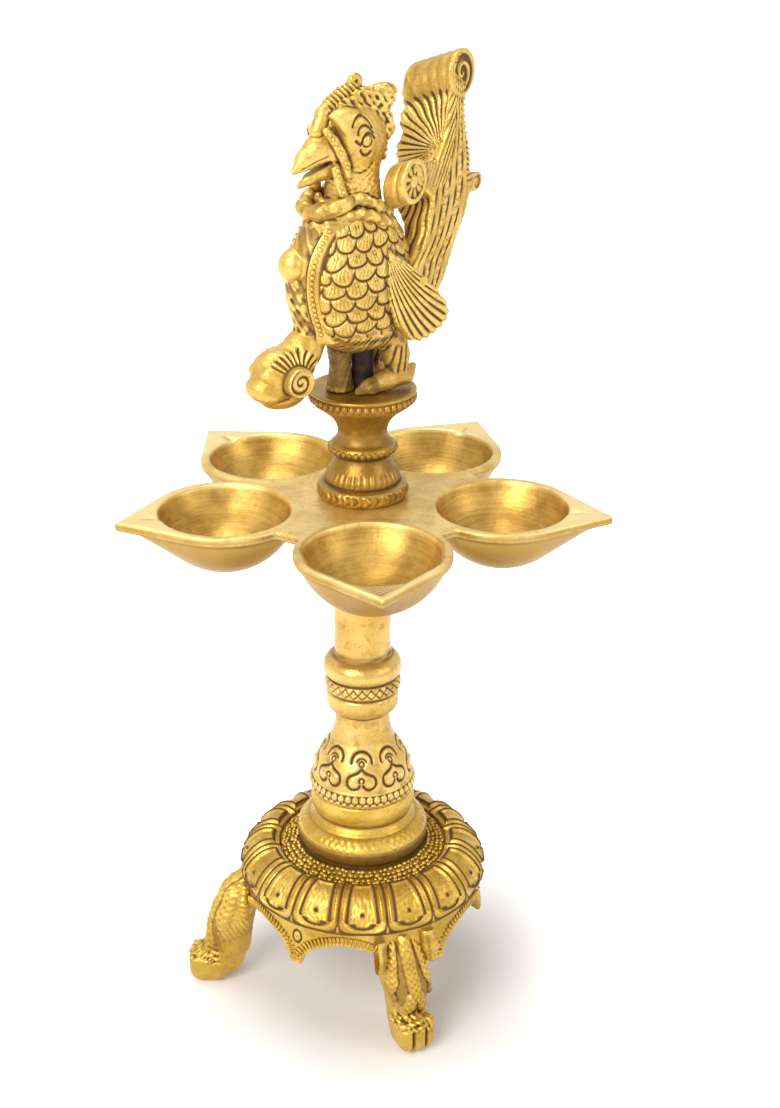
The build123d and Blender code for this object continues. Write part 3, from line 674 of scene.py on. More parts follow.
def settingTree():
    tree = bpy.data.node_groups.new("setOnPoints", "GeometryNodeTree")
    inputs = {"Points": "Geometry", "Item": "Object", "Jitter": "Float", "Seed": "Int", "Finish": "Material"}
    for label, kind in inputs.items():
        tree.interface.new_socket(name=label, in_out="INPUT", socket_type="NodeSocket" + kind)
    tree.interface.new_socket(name="Geometry", in_out="OUTPUT", socket_type="NodeSocketGeometry")

    def node(kind, inputs, out=0, **settings):
        n = tree.nodes.new(kind)
        for key, value in settings.items():
            setattr(n, key, value)
        for key, value in inputs.items():
            if isinstance(value, bpy.types.NodeSocket):
                tree.links.new(value, n.inputs[key])
            else:
                n.inputs[key].default_value = value
        return n.outputs[out] if n.outputs else None

    def given(label):
        return node("NodeGroupInput", {}, label)

    def vector(name):
        return node("GeometryNodeInputNamedAttribute", {"Name": name}, data_type="FLOAT_VECTOR")

    align = "FunctionNodeAlignRotationToVector"
    item = node("GeometryNodeObjectInfo", {"Object": given("Item")}, "Geometry")
    up = node(align, {"Vector": vector("facing")}, axis="Z")
    turn = node(align, {"Rotation": up, "Vector": vector("aim")}, axis="X", pivot_axis="Z")
    least = node("ShaderNodeMath", {0: 1.0, 1: given("Jitter")}, operation="SUBTRACT")
    most = node("ShaderNodeMath", {0: 1.0, 1: given("Jitter")}, operation="ADD")
    spread = {2: least, 3: most, "Seed": given("Seed")}
    vary = node("FunctionNodeRandomValue", spread, 1, data_type="FLOAT")
    scale = node("ShaderNodeVectorMath", {0: vector("size"), "Scale": vary}, operation="SCALE")
    setting = {"Points": given("Points"), "Instance": item, "Rotation": turn, "Scale": scale}
    put = node("GeometryNodeInstanceOnPoints", setting)
    real = node("GeometryNodeRealizeInstances", {"Geometry": put})
    done = node("GeometryNodeSetMaterial", {"Geometry": real, "Material": given("Finish")})
    node("NodeGroupOutput", {"Geometry": done})
    return tree


bead = makeBead()
setTree = settingTree()
treeIds = {s.name: s.identifier for s in setTree.interface.items_tree if s.in_out == "INPUT"}


def setBeads(name, points, facing, aim, size, finish, body, node, jitter, seed):
    carrier = bpy.data.meshes.new(name + "Points")
    carrier.vertices.add(len(points))
    carrier.vertices.foreach_set("co", (points * mm).astype(np.float32).ravel())
    for key, values in (("facing", facing), ("aim", aim), ("size", size)):
        markPoints(carrier, key, np.broadcast_to(values, points.shape))
    holder = linked(name + "Holder", carrier)
    layer = holder.modifiers.new("set", "NODES")
    layer.node_group = setTree
    for label, value in (("Item", bead), ("Jitter", jitter), ("Seed", seed), ("Finish", finish)):
        layer[treeIds[label]] = value
    bpy.context.view_layer.update()
    mesh = bpy.data.meshes.new_from_object(holder.evaluated_get(bpy.context.evaluated_depsgraph_get()))
    mesh.name = name
    bpy.data.objects.remove(holder)
    bpy.data.meshes.remove(carrier)
    mesh.polygons.foreach_set("use_smooth", np.ones(len(mesh.polygons), bool))
    place(mesh, body, node)


# bead rings on the pedestal
ringSizes = {"tableBeads": {"count": 46, "radius": 14.95, "z": 206.1, "size": (0.98, 1.35, 1.0), "seed": 2},
             "waistBeads": {"count": 32, "radius": 9.45, "z": 190.2, "size": (0.95, 1.05, 0.95), "seed": 3}}
ringTilt = -0.1

for name, s in ringSizes.items():
    a = np.linspace(0, 2 * math.pi, s["count"], endpoint=False)
    out = np.stack([np.cos(a), np.sin(a), 0 * a], 1)
    aim = np.stack([-np.sin(a), np.cos(a), 0 * a], 1)
    facing = out * math.cos(ringTilt) + np.array([0, 0, math.sin(ringTilt)])
    points = out * s["radius"] + np.array([0, 0, s["z"]])
    setBeads(name, points, facing, aim, s["size"], darkBrass, "pedestal", "pedestal", 0.10, s["seed"])


# lotus dome
domeSizes = {"top": [(19.0, 55.5), (20.6, 55.35), (21.4, 54.9), (25.4, 53.5), (26.1, 53.5), (26.6, 54.1),
                     (27.6, 54.9), (29.2, 55.5), (30.8, 55.6), (33.0, 54.9), (35.4, 53.2), (37.4, 51.0),
                     (38.7, 48.8), (39.25, 46.6), (39.1, 45.0), (38.4, 44.1), (37.4, 43.8)],
             "hollow": [(35.4, 43.9), (35.2, 44.5), (35.2, 50.2), (33.9, 51.5), (12.6, 51.5), (12.0, 50.9),
                        (12.0, 47.0)],
             "petals": 16, "inner": 26.6, "toe": 44.5, "bend": 4.2, "columns": 752, "step": 0.36}
domeTop = curveThrough(domeSizes["top"], 160)


def domeRelief(theta, r, z):
    s = domeSizes
    period = 2 * math.pi / s["petals"]
    x = np.abs(wrapTo(theta, period)) * r
    skin = spaced(domeTop, s["step"])
    run = runOf(skin)
    y = np.repeat(run[:, None], theta.shape[1], 1)
    start = np.interp(s["inner"], skin[:40, 0], run[:40])
    end = run[np.argmin(np.abs(skin[:, 1] - s["toe"]) + 50 * (skin[:, 0] < 38))]
    half = period * r / 2 - 0.42
    bend = s["bend"]
    yc = end - bend
    toe = np.hypot(x * bend / half, np.maximum(y - yc, 0)) - bend
    d = np.where(y > yc, toe * np.minimum(1, half / bend), x - half)
    d = np.maximum(d, start + 0.4 - y)
    border = groove((d + 1.0) / (0.55 + 0.5 * smooth(yc - 2.0, end, y)), 0.9)
    inner = -2.3 - 0.6 * smooth(yc, end, y)
    moat = groove(d - inner, 0.5) * (d < -0.8)
    lobe = yc + 0.4 + 1.5 * np.sin(np.clip(x, 0, 2.4) * 1.3)
    tongue = smooth(inner - 0.5, inner - 1.2, d) * (1 - smooth(lobe - 0.3, lobe + 0.4, y))
    dot = np.hypot(x, y - (yc - 2.6))
    gap = smooth(-0.25, 0.35, d)
    rib = groove(period * r / 2 - x, 0.3) * window(y, start + 1.5, end - 1.2, 1.0)
    zone = smooth(start - 0.3, start + 0.9, y)
    points = np.stack([r * np.cos(theta), r * np.sin(theta), z], -1).reshape(-1, 3)
    worn = rough(points, 1.6, 3).reshape(r.shape)
    petal = 0.9 * border - 0.65 * moat + (0.5 + 0.12 * worn) * tongue
    between = (0.8 - 0.35 * smooth(yc, end, y)) * gap - 0.5 * rib * gap
    push = zone * (petal - between - 0.9 * groove(dot, 0.6))
    push += 0.45 * groove(r - 26.3, 0.35) * (z > 50) * (1 - zone)
    line = np.maximum(0.7 * groove(d - 0.15, 0.25) * (y < yc + 1.0),
                      groove(y - lobe - 0.3, 0.45) * (d < inner + 0.3))
    ink = 0.28 * moat + 0.2 * line + 1.1 * groove(dot, 0.65) + 0.25 * tongue * (worn > 0.35)
    ink = zone * np.clip(ink, 0, 1)
    # painted shadow of the stem foot in the ring round its seat; the grain band beyond it is darker too
    ink += 0.8 * window(r, 19.0, 20.7, 0.3) * (z > 54.3) + 0.3 * window(r, 20.7, 25.6, 0.3) * (z > 53.0)
    return push, ink


spin("lotusDome", domeTop, domeRelief, domeSizes["columns"], domeSizes["step"], "base", "base_dome",
     baseBrass, domeSizes["hollow"])


# grains in the moat round the stem
grainSizes = {"rows": (21.2, 22.7, 24.2, 25.5), "pitch": 1.72, "small": 0.62, "large": 0.95, "seed": 11}


def moatGrains():
    s = grainSizes
    rng = np.random.default_rng(s["seed"])
    points, sizes = [], []
    for row, radius in enumerate(s["rows"]):
        count = int(2 * math.pi * radius / s["pitch"])
        a = np.linspace(0, 2 * math.pi, count, endpoint=False) + 0.4 * row + rng.normal(0, 0.011, count)
        r = radius + rng.normal(0, 0.16, count)
        z = np.interp(r, [21.0, 25.4], [55.15, 53.55]) + 0.1
        points.append(np.stack([r * np.cos(a), r * np.sin(a), z], 1))
        sizes.append(np.repeat(rng.uniform(s["small"], s["large"], count)[:, None], 3, 1))
    setBeads("moatGrains", np.concatenate(points), (0.0, 0.0, 1.0), (1.0, 0.0, 0.0), np.concatenate(sizes),
             baseBrass, "base", "base_dome", 0.12, 5)


moatGrains()


# arched apron under the dome
apronSizes = {"radius": 37.6, "wall": 2.4, "top": 44.4, "bottom": 29.0, "archTop": 38.5, "half": 13.8,
              "offset": 24.5, "middles": (-3.25, 119.75, 237.0), "eye": 38.6, "columns": 720, "rows": 44,
              "innerRows": 9, "tickPitch": 1.16, "tick": (1.6, 0.4, 0.6)}


def apronEdge(theta):
    s = apronSizes
    low = np.full(np.shape(theta), s["bottom"])
    for middle in s["middles"]:
        for side in (-1, 1):
            away = wrapTo(theta - math.radians(middle + side * s["offset"]), 2 * math.pi)
            t = np.where(np.abs(away) < 1.2, s["radius"] * np.sin(away), far) / s["half"]
            arch = s["bottom"] + (s["archTop"] - s["bottom"]) * np.sqrt(np.maximum(0, 1 - t * t))
            low = np.maximum(low, np.where(np.abs(t) < 1, arch, 0))
    return low


def apronSkin(theta, z, low):  # radius and ink of the outer side
    s = apronSizes
    rise = z - low
    turn = np.min([np.abs(wrapTo(theta - math.radians(m), 2 * math.pi)) for m in s["middles"]], 0)
    flare = 0.9 * smooth(40.5, 30.5, z)
    lip = 0.35 * groove(rise - 0.7, 0.55) - 0.25 * groove(rise - 3.1, 0.4)
    eye = np.hypot(turn * s["radius"] / 1.5, (z - s["eye"]) / 2.1)
    leaf = -0.5 * groove(np.abs(eye - 1.0), 0.24) - 0.3 * groove(eye, 0.22) + 0.2 * (eye < 0.8)
    rounded = 0.7 * (1 - np.sqrt(np.maximum(0, 1 - np.maximum(0, 1 - rise / 0.7) ** 2)))
    ink = 0.9 * groove(np.abs(eye - 1.0), 0.2) + 0.6 * groove(eye, 0.22) + 0.35 * groove(rise - 3.1, 0.4)
    return s["radius"] + flare + lip + leaf - rounded, np.clip(ink, 0, 1)


def makeApron():
    s = apronSizes
    theta = np.linspace(-math.pi, math.pi, s["columns"], endpoint=False)
    low = apronEdge(theta)
    rows = []
    for k in np.linspace(0, 1, s["rows"]):  # outer side, downwards
        z = s["top"] + (low - s["top"]) * k
        r, ink = apronSkin(theta, z, low)
        rows.append((r, z, ink))
    for k in np.linspace(0, 1, s["innerRows"])[1:]:  # inner side, upwards
        z = low + (s["top"] - low) * k
        rows.append((s["radius"] - s["wall"] + 0 * z, z, 0 * z))
    verts = np.concatenate([np.stack([r * np.cos(theta), r * np.sin(theta), z], 1) for r, z, _ in rows])
    quads = gridFaces(len(rows), s["columns"], closed=True)[:, ::-1]
    marks = {"wear": wearOf(verts, quads), "ink": np.concatenate([ink for _, _, ink in rows])}
    place(meshOf("archedApron", verts, quads, marks), "base", "base_dome", baseBrass)


def apronTicks():
    s = apronSizes
    fine = np.linspace(-math.pi, math.pi, 7200, endpoint=False)
    edge = np.stack([s["radius"] * fine, apronEdge(fine)], 1)
    run = runOf(edge)
    at = np.arange(0.6, run[-1], s["tickPitch"])
    a, z = np.interp(at, run, fine), np.interp(at, run, edge[:, 1])
    slope = np.interp(at, run, np.gradient(edge[:, 1], edge[:, 0]))[:, None]
    up = np.array([0, 0, 1.0])
    out = np.stack([np.cos(a), np.sin(a), 0 * a], 1)
    along = np.stack([-np.sin(a), np.cos(a), 0 * a], 1)
    aim = (up - slope * along) / np.sqrt(1 + slope ** 2)
    points = out * (s["radius"] + 0.75 * smooth(40.5, 30.5, z)[:, None]) + up * z[:, None] + aim * 2.0
    setBeads("apronTicks", points, out, aim, s["tick"], baseBrass, "base", "base_dome", 0.12, 9)


makeApron()
apronTicks()


# bird: u runs to the beak, v to its left side, w up from the pedestal
birdSizes = {"heading": 216.0, "offset": 1.2, "seat": 208.6,
             "rings": [(9.0, 1.6, 6.0, 4.5), (13.0, 2.0, 9.6, 7.4), (18.0, 3.4, 14.0, 10.5),
                       (28.0, 4.0, 17.3, 12.8), (38.0, 4.0, 16.8, 12.2), (46.0, 3.8, 13.8, 10.2),
                       (53.0, 4.8, 10.2, 8.4), (59.0, 5.0, 8.2, 7.0)],  # w, middle, half length, half width
             "wing": [(0.5, 42.0), (1.5, 36.0), (1.6, 30.0), (0.4, 24.4), (-2.6, 19.0), (-6.2, 15.9),
                      (-10.0, 15.4), (-14.0, 16.8), (-17.4, 19.0), (-19.2, 21.6), (-18.4, 25.0),
                      (-15.4, 29.0), (-11.0, 33.4), (-5.4, 38.4), (0.5, 42.0)],
             "leg": [(-4.6, 4.8, 17.0, 5.0), (-6.2, 5.5, 10.0, 3.7), (-6.8, 5.8, 4.0, 3.0)],
             "foot": [(-12.4, 5.8, 5.4, 1.0), (-9.4, 5.8, 3.3, 2.6), (-3.0, 5.8, 2.9, 3.0),
                      (3.4, 5.7, 1.9, 2.2), (7.0, 5.5, 1.3, 1.0)],
             "strut": (6.5, -2.0, 3.2), "bore": 3.35, "boreEnd": 24.0,
             "scales": 17, "pitch": 3.85, "firstRow": 49.5, "feathers": 4.4, "step": 0.335}
ringTable = np.array(birdSizes["rings"])
wingLine = curveThrough(birdSizes["wing"], 48)[:-1]


def turned(q, heading, origin):
    c, s = math.cos(math.radians(heading)), math.sin(math.radians(heading))
    u, v, w = q.T
    return np.stack([origin[0] + u * c - v * s, origin[1] + u * s + v * c, w + origin[2]], 1)


def birdPlace(q):
    return turned(q, birdSizes["heading"], (birdSizes["offset"], 0.0, birdSizes["seat"]))


def torsoSkin(u, v, w):  # distance to the plain body, angle round it and its mean radius
    level = np.clip(w, ringTable[0, 0], ringTable[-1, 0])
    middle, a, b = [glide(ringTable[:, [0, i]], level) for i in (1, 2, 3)]
    x = u - middle
    full = 2.0 + 1.6 * smooth(1.0, 8.0, x)  # fuller towards the breast
    k = (np.abs(x / a) ** full + np.abs(v / b) ** full) ** (1 / full) + 1e-6
    return 0.93 * np.hypot(x, v) * (1 - 1 / k), np.arctan2(v / b, x / a), (a + b) / 2


def scaleRelief(phi, w, radius):
    s = birdSizes
    w = w + 0.45 * np.sin(2.0 * phi + 0.6) + 0.28 * np.sin(7.0 * phi + 0.4 * w)
    phi = phi + 0.03 * np.sin(0.8 * w + 3.0 * phi)
    width = 2 * math.pi * radius / s["scales"]
    rim = width / 2
    xs = phi / (2 * math.pi) * s["scales"]
    row = np.ceil((s["firstRow"] - w) / s["pitch"])
    level = s["firstRow"] - s["pitch"] * row

    def across(k):  # place along a row, counted from the middle of its nearest scale
        return wrapTo(xs - 0.5 * (k % 2), 1.0) * width

    upX, upY = across(row - 1), level + s["pitch"] - w
    up = np.hypot(upX, upY) - rim
    over = up < 0
    dx = np.where(over, upX, across(row))
    dy = np.where(over, upY, level - w)
    edge = np.where(over, -up, np.minimum(up, rim - np.abs(dx) + 0.12))
    tip = np.clip(dy / rim + 0.35, 0, 1.3)
    fan = np.arctan2(dx, dy + 5.0)
    strokes = np.cos(fan * 40) * window(dy, -1.5, rim * 0.7, 0.3) * smooth(0.35, 0.8, edge)
    dots = groove(np.hypot(dx, dy + 0.9) - 0.55, 0.22) * ((row + over) % 2 == 0)
    cut = groove(edge, 0.33)
    push = 0.28 * smooth(0, 1.3, edge) * (0.5 + 0.7 * tip) + 0.11 * strokes - 0.44 * cut - 0.12 * dots
    return push, np.clip(0.85 * cut + 0.35 * (strokes < -0.45) + 0.4 * dots, 0, 1)


def wingRibs(u, w):
    x, y = 2.2 - u, 46.0 - w
    reach = np.hypot(x, y)
    fan = np.degrees(np.arctan2(x, y)) - 0.62 * (reach - 14.0)
    ribs = np.cos(np.radians(fan) * 360 / birdSizes["feathers"])
    ticks = np.cos(reach * 3.4) * window(fan, -4.5, 0.6, 0.8)
    return ribs * smooth(-2.0, 1.5, fan), ticks


def rodAxes(u, v):  # flat place counted from the tie rod
    turn = math.radians(birdSizes["heading"])
    return u + birdSizes["offset"] * math.cos(turn), v - birdSizes["offset"] * math.sin(turn)


def wingField(u, side, w):
    ribs, ticks = wingRibs(u, w)
    flat = flatShape(u, w, wingLine) - 0.10 * ribs * smooth(30, 22, w)
    middle = 10.6 + 1.6 * smooth(40, 24, w)
    wing = blendMax(flat, np.abs(side - middle) - 1.7, 1.3)
    return wing - 0.20 * ribs * smooth(1.0, -0.6, flat) - 0.24 * ticks * smooth(0.4, -0.5, flat)


def legsField(u, side, w):
    m = np.stack([u, side, w], 1)
    leg = chain(m, birdSizes["leg"], 1.0) - 0.3 * np.cos(u * 3.4 + 0.25 * w) * window(w, 5.5, 13.5, 1.0)
    toes = 0.25 * np.cos((side - 5.7) * 2.6) * smooth(0.5, 4.0, u)
    return blendMax(blendMin(leg, chain(m, birdSizes["foot"], 1.2) - toes, 1.2), 0.06 - w, 0.3)


def torsoField(q):
    s = birdSizes
    u, v, w = q.T
    side = np.abs(v)
    d, phi, radius = torsoSkin(u, v, w)
    relief, _ = scaleRelief(phi, w, radius)
    pitted = rough(q, 1.9, 12)
    d = d - relief * window(w, 19.0, 50.5, 1.2) - 0.28 * pitted * smooth(21.0, 18.0, w)
    d = blendMax(blendMax(d, 12.4 - w, 3.5), w - 53.0, 2.0)
    d = blendMin(d, wingField(u, side, w), 0.5)
    d = blendMin(d, legsField(u, side, w), 1.0)
    x, y = rodAxes(u, v)
    sx, sy, waist = s["strut"]
    strut = np.hypot(x - sx, y - sy) - (waist + 0.022 * (w - 7.0) ** 2) + 0.12 * pitted
    d = blendMin(d, np.maximum(strut, np.abs(w - 7.56) - 7.5), 0.8)
    return np.maximum(d, s["bore"] - np.hypot(x, y) - far * (w > s["boreEnd"]))


def torsoInkAndShade(q):
    u, v, w = q.T
    d, phi, radius = torsoSkin(u, v, w)
    onSkin = smooth(1.6, 0.9, d)
    _, ink = scaleRelief(phi, w, radius)
    ribs, _ = wingRibs(u, w)
    flat = flatShape(u, w, wingLine)
    onWing = (np.abs(v) > 9.0) * smooth(1.0, -0.3, flat)
    pitted = rough(q, 1.9, 12)
    scales = ink * onSkin * window(w, 19.0, 50.5, 1.0) * (1 - onWing)
    belly = smooth(22.0, 17.0, w) * (0.3 + 0.35 * (pitted < 0) * (w > 13.0)) * (np.abs(v) < 10.5) * (w > 1.5)
    wings = 0.4 * onWing * (ribs < -0.65) + 0.6 * onSkin * groove(flat - 0.8, 0.5)
    # painted shade on the low front below w 14, round the strut between the legs
    return np.clip(scales + belly + wings + 0.45 * (w < 14.0) * (u > 1.5), 0, 1)


sculptPiece("birdTorso", torsoField, (-22, -15.5, -0.6), (25, 15.5, 56), birdSizes["step"], birdPlace,
            "finial", "bird_body", brass, torsoInkAndShade)


# head, neck and crest
headSizes = {"step": 0.26, "eye": (5.1, 72.2), "pupil": 1.6,
             "panel": [(15.1, 79.3), (12.9, 80.6), (10.2, 81.1), (7.5, 80.7), (4.6, 78.9), (2.0, 75.7),
                       (1.0, 71.5), (1.6, 67.8), (4.2, 65.0), (7.6, 64.8), (9.4, 67.6), (10.7, 71.8),
                       (12.7, 75.4), (15.1, 79.3)],
             "crest": [(14.6, 76.0), (12.9, 80.4), (11.1, 82.0), (8.4, 83.4), (5.7, 84.6), (2.0, 85.6),
                       (-0.9, 84.8), (-4.6, 85.2), (-7.6, 85.0), (-8.8, 83.2), (-7.9, 80.8), (-6.6, 78.6),
                       (-7.4, 75.4), (-8.2, 73.1), (-6.4, 71.2), (-5.0, 68.4), (-4.8, 65.2), (2.0, 64.0)],
             "comb": [(16.6, 0, 74.8, 2.1), (14.6, 0, 79.2, 2.0), (12.2, 0, 81.6, 1.9), (8.6, 0, 83.9, 1.8),
                      (5.6, 0, 85.2, 1.6), (3.2, 0, 85.6, 1.0)],
             "cheek": [(16.0, 3.6, 75.4, 1.0), (14.2, 4.8, 72.8, 1.2), (12.5, 5.6, 69.4, 1.3),
                       (11.4, 6.1, 66.4, 1.2), (10.8, 6.2, 63.4, 0.9)],
             "throat": [(13.6, 4.4, 65.6, 1.2), (13.2, 5.4, 61.6, 1.3), (12.4, 6.8, 57.0, 1.4)],
             "upperBill": [(11.6, 0, 71.2, 5.0), (16.4, 0, 69.8, 4.1), (20.6, 0, 67.6, 2.7),
                           (24.2, 0, 65.0, 0.75)],
             "lowerBill": [(10.0, 0, 65.6, 3.6), (15.0, 0, 64.2, 2.5), (19.0, 0, 62.6, 1.7),
                           (22.6, 0, 60.9, 0.75)],
             "scarf": [(12.4, 7.8, 56.4, 2.0), (15.6, 6.2, 55.4, 2.1), (18.4, 3.8, 54.0, 2.2),
                       (19.6, 0, 53.2, 2.2)],
             "rolls": ((57.0, 10.4, 8.6), (53.6, 11.6, 9.8)),
             "cheekBeads": [(15.6, 4.2, 74.6), (14.0, 5.2, 72.0), (12.5, 5.9, 68.8), (11.4, 6.4, 65.8)],
             "throatBeads": [(13.6, 4.7, 65.0), (13.2, 5.7, 61.4), (12.5, 6.9, 57.8)]}
faceLines = [curveThrough([(9.6, 76.4), (8.4, 78.4), (6.4, 79.0), (4.4, 77.8), (2.8, 75.4)], 12),
             curveThrough([(8.0, 74.2), (7.4, 75.8), (6.0, 76.4), (4.2, 75.6), (2.6, 74.0)], 12),
             curveThrough([(8.6, 72.4), (7.2, 71.4), (6.4, 72.6), (5.4, 74.1), (3.6, 74.0), (2.2, 72.6)], 12),
             curveThrough([(7.2, 69.8), (6.2, 68.6), (5.0, 68.4), (3.8, 69.2)], 8)]  # brows, lid and smile
jawLine = curveThrough([(10.4, 65.2), (8.0, 63.8), (5.0, 64.4), (3.0, 66.0)], 8)
cheekLine = curveThrough([(16.2, 79.4), (13.8, 75.8), (11.8, 72.0), (10.6, 68.2), (9.4, 65.4)], 14)
panelShape = curveThrough(headSizes["panel"], 40)[:-1]


def faceMarks(u, side, w):  # the drawn lines, the distance from the eye, and where the face's side is
    lines = np.min([strokeGap(u, w, line) for line in faceLines], 0)
    return lines, np.hypot(u - headSizes["eye"][0], w - headSizes["eye"][1]), smooth(4.0, 5.2, side)


def faceField(m, u, side, w, panel):  # neck, skull and the engraved panel on each side
    neck = taper(m, (4.9, 0, 47), (5.0, 0, 63), 9.0, 7.2)
    neck = neck - 0.16 * np.sin(u * 2.3 + 1.3 * np.sin(w * 1.7)) * np.sin(w * 2.6 + side)
    skull = egg(m, (4.6, 0, 71.4), (10.0, 6.6, 10.2))
    d = blendMin(blendMin(neck, skull, 3.0), egg(m, (11.2, 0, 70.2), (6.4, 5.0, 6.0)), 2.0)
    bulge = 7.4 - 0.020 * ((u - 6.5) ** 2 + 0.6 * (w - 72.5) ** 2)
    d = blendMin(d, np.maximum(blendMax(panel, side - bulge, 3.0), 3.0 - side), 0.8)
    lines, eye, onSide = faceMarks(u, side, w)
    socket = 0.4 * groove(eye - headSizes["pupil"], 0.3) - 0.35 * groove(eye, 1.1)
    d = d + onSide * (0.55 * groove(lines, 0.42) + socket + 0.4 * groove(strokeGap(u, w, jawLine), 0.4))
    return d + 0.8 * groove(strokeGap(u, w, cheekLine), 0.55) * smooth(2.6, 4.4, side)


def beakField(m, u, side, w):
    thin = m * np.array([1, 1.12, 1])
    upper = chain(thin, headSizes["upperBill"], 1.0)
    nostril = strokeGap(u, w, [(13.6, 69.2), (18.0, 67.7), (22.6, 65.4)])
    upper = upper + 0.4 * groove(nostril, 0.3) * (side > 1.2)
    return np.minimum(upper, chain(thin, headSizes["lowerBill"], 1.0))


def crestField(q, u, side, w, panel):
    crest = blendMax(flatShape(u, w, headSizes["crest"]), side - 2.7, 1.4)
    return crest - 0.3 * rough(q, 1.7, 21) * (panel > 0.4)


def combField(m, u, w):
    return chain(m, headSizes["comb"], 0.8) - 0.30 * np.cos((u - 0.8 * w) * 3.6) * window(u, 3.5, 14.0, 0.8)


def collarField(q, d, u, v, w):  # two rolled folds round the neck
    for level, a, b in headSizes["rolls"]:
        wc = level - 0.42 * np.maximum(8.0 - u, 0) - 0.25 * np.maximum(u - 8.0, 0)
        k = np.hypot((u - 4.6) / a, v / b) + 1e-6
        out = np.hypot(u - 4.6, v) * (1 - 1 / k)
        d = blendMin(d, np.hypot(out, (w - wc) * 0.8) - 1.3 - 0.3 * rough(q, 1.2, 5), 0.5)
    return d


def headField(q):
    s = headSizes
    u, v, w = q.T
    side = np.abs(v)
    m = np.stack([u, side, w], 1)
    panel = flatShape(u, w, panelShape)
    d = faceField(m, u, side, w, panel)
    d = blendMin(d, np.minimum(chain(m, s["cheek"], 0.5), chain(m, s["throat"], 0.5)), 0.5)
    mouth = strokeGap(u, w, [(14.6, 66.6), (24.0, 62.9)])
    d = blendMin(d, beakField(m, u, side, w), 0.5)
    d = np.maximum(d, 0.75 - mouth - far * (side > 5))
    curl = ball(m, (-6.0, 0, 82.6), 2.9) - 0.3 * np.cos(4 * np.hypot(u + 6, w - 82.6))
    scroll = np.minimum(curl, ball(m, (-6.2, 0, 73.4), 2.6))
    knob = np.maximum(np.hypot(np.hypot(u - 4.0, w - 86.9) - 1.25, v) - 1.05, far * (w < 84) - 50)
    d = blendMin(d, crestField(q, u, side, w, panel), 0.8)
    d = np.minimum(blendMin(np.minimum(d, combField(m, u, w)), scroll, 0.9), knob)
    d = collarField(q, d, u, v, w)
    breast = egg(m, (10.6, 0, 49.0), (9.4, 8.6, 7.4)) - 0.2 * rough(q, 1.6, 6)
    scarf = chain(m, s["scarf"], 0.8) - 0.25 * rough(q, 1.1, 8)
    d = blendMin(blendMin(d, breast, 0.8), scarf, 0.5)
    return np.maximum(d, 46.0 - w)


def headInk(q):
    u, v, w = q.T
    side = np.abs(v)
    lines, eye, onSide = faceMarks(u, side, w)
    drawn = 0.9 * onSide * (groove(lines, 0.4) + 0.7 * groove(eye - headSizes["pupil"], 0.28))
    cheek = groove(strokeGap(u, w, cheekLine), 0.7) * smooth(2.6, 4.4, side)
    mouth = groove(strokeGap(u, w, [(13.0, 67.0), (24.0, 62.9)]), 0.8) * (side < 3.5)
    folds = 0.4 * (w < 58.5) * (rough(q, 1.2, 5) < 0)
    onCrest = (flatShape(u, w, panelShape) > 0.6) * (w > 66) * (u < 14)
    crest = 0.25 * (rough(q, 1.7, 21) < -0.25) * onCrest
    return np.clip(drawn + 0.7 * cheek + 0.8 * mouth + folds + crest, 0, 1)


sculptPiece("birdHead", headField, (-10, -13.5, 45.6), (25.6, 13.5, 90), headSizes["step"], birdPlace,
            "finial", "bird_body", brass, headInk)


def sideBeads(name, line, out, node, size, jitter, seed):  # beads along a line on both sides of the bird
    flip = np.array([1, -1, 1])
    both, way = np.concatenate([line, line * flip]), np.concatenate([out, out * flip])
    setBeads(name, birdPlace(both), birdPlace(both + way) - birdPlace(both), (0.0, 0.0, 1.0), size, brass,
             "finial", node, jitter, seed)


for name, pitch, lift in (("cheekBeads", 1.5, 0.8), ("throatBeads", 1.6, 0.9)):
    line = spaced(headSizes[name], pitch)
    out = np.tile([0.25, 1.0, 0.0], (len(line), 1)) / math.hypot(0.25, 1.0)
    sideBeads(name, line + lift * out, out, "bird_body", 0.75, 0.1, 7)


# tail: a along its own heading, c towards its near side, h up along the near face
tailSizes = {"heading": 237.0, "root": (12.5, 8.2, 208.6), "near": 9.0, "far": -7.5, "lean": 0.34,
             "topRoll": (-14.7, 86.4, 6.8), "lowRoll": (10.0, 60.6, 6.3), "lowEnd": 2.0,
             "curl": (-24.4, 54.4, 2.8), "curlEnd": 1.0,  # rolls are middle a, middle h and radius
             "back": [(10.0, 22.0), (4.0, 22.8), (-4.1, 26.8), (-12.0, 38.0), (-19.6, 49.0), (-20.2, 61.0),
                      (-16.6, 74.0), (-16.0, 84.0)],
             "front": [(-9.6, 88.0), (-8.6, 80.0), (-6.4, 70.0), (-1.6, 61.0), (1.2, 51.0), (3.2, 43.0),
                       (10.0, 36.0)],
             "notch": [(25.0, -12.0), (31.0, -8.5), (36.0, -2.6), (42.0, 0.4), (49.0, -2.6), (54.0, -8.5),
                       (60.0, -12.0)],
             "ribs": 6.0, "fanMiddle": (67.0, 7.4), "coilPitch": 3.4, "step": 0.3}
tailBack = curveThrough(tailSizes["back"], 40)
tailFront = curveThrough(tailSizes["front"], 34)
tailShape = np.concatenate([tailBack, tailFront])


def tailPlace(q):
    a, c, h = q.T
    s = tailSizes
    return turned(np.stack([a, c, h - s["lean"] * (s["near"] - c)], 1), s["heading"], s["root"])


def spiral(x, y, pitch):  # distance to a spiral line round 0, 0
    return np.abs(wrapTo(np.hypot(x, y) - pitch * np.arctan2(y, x) / (2 * math.pi), pitch))


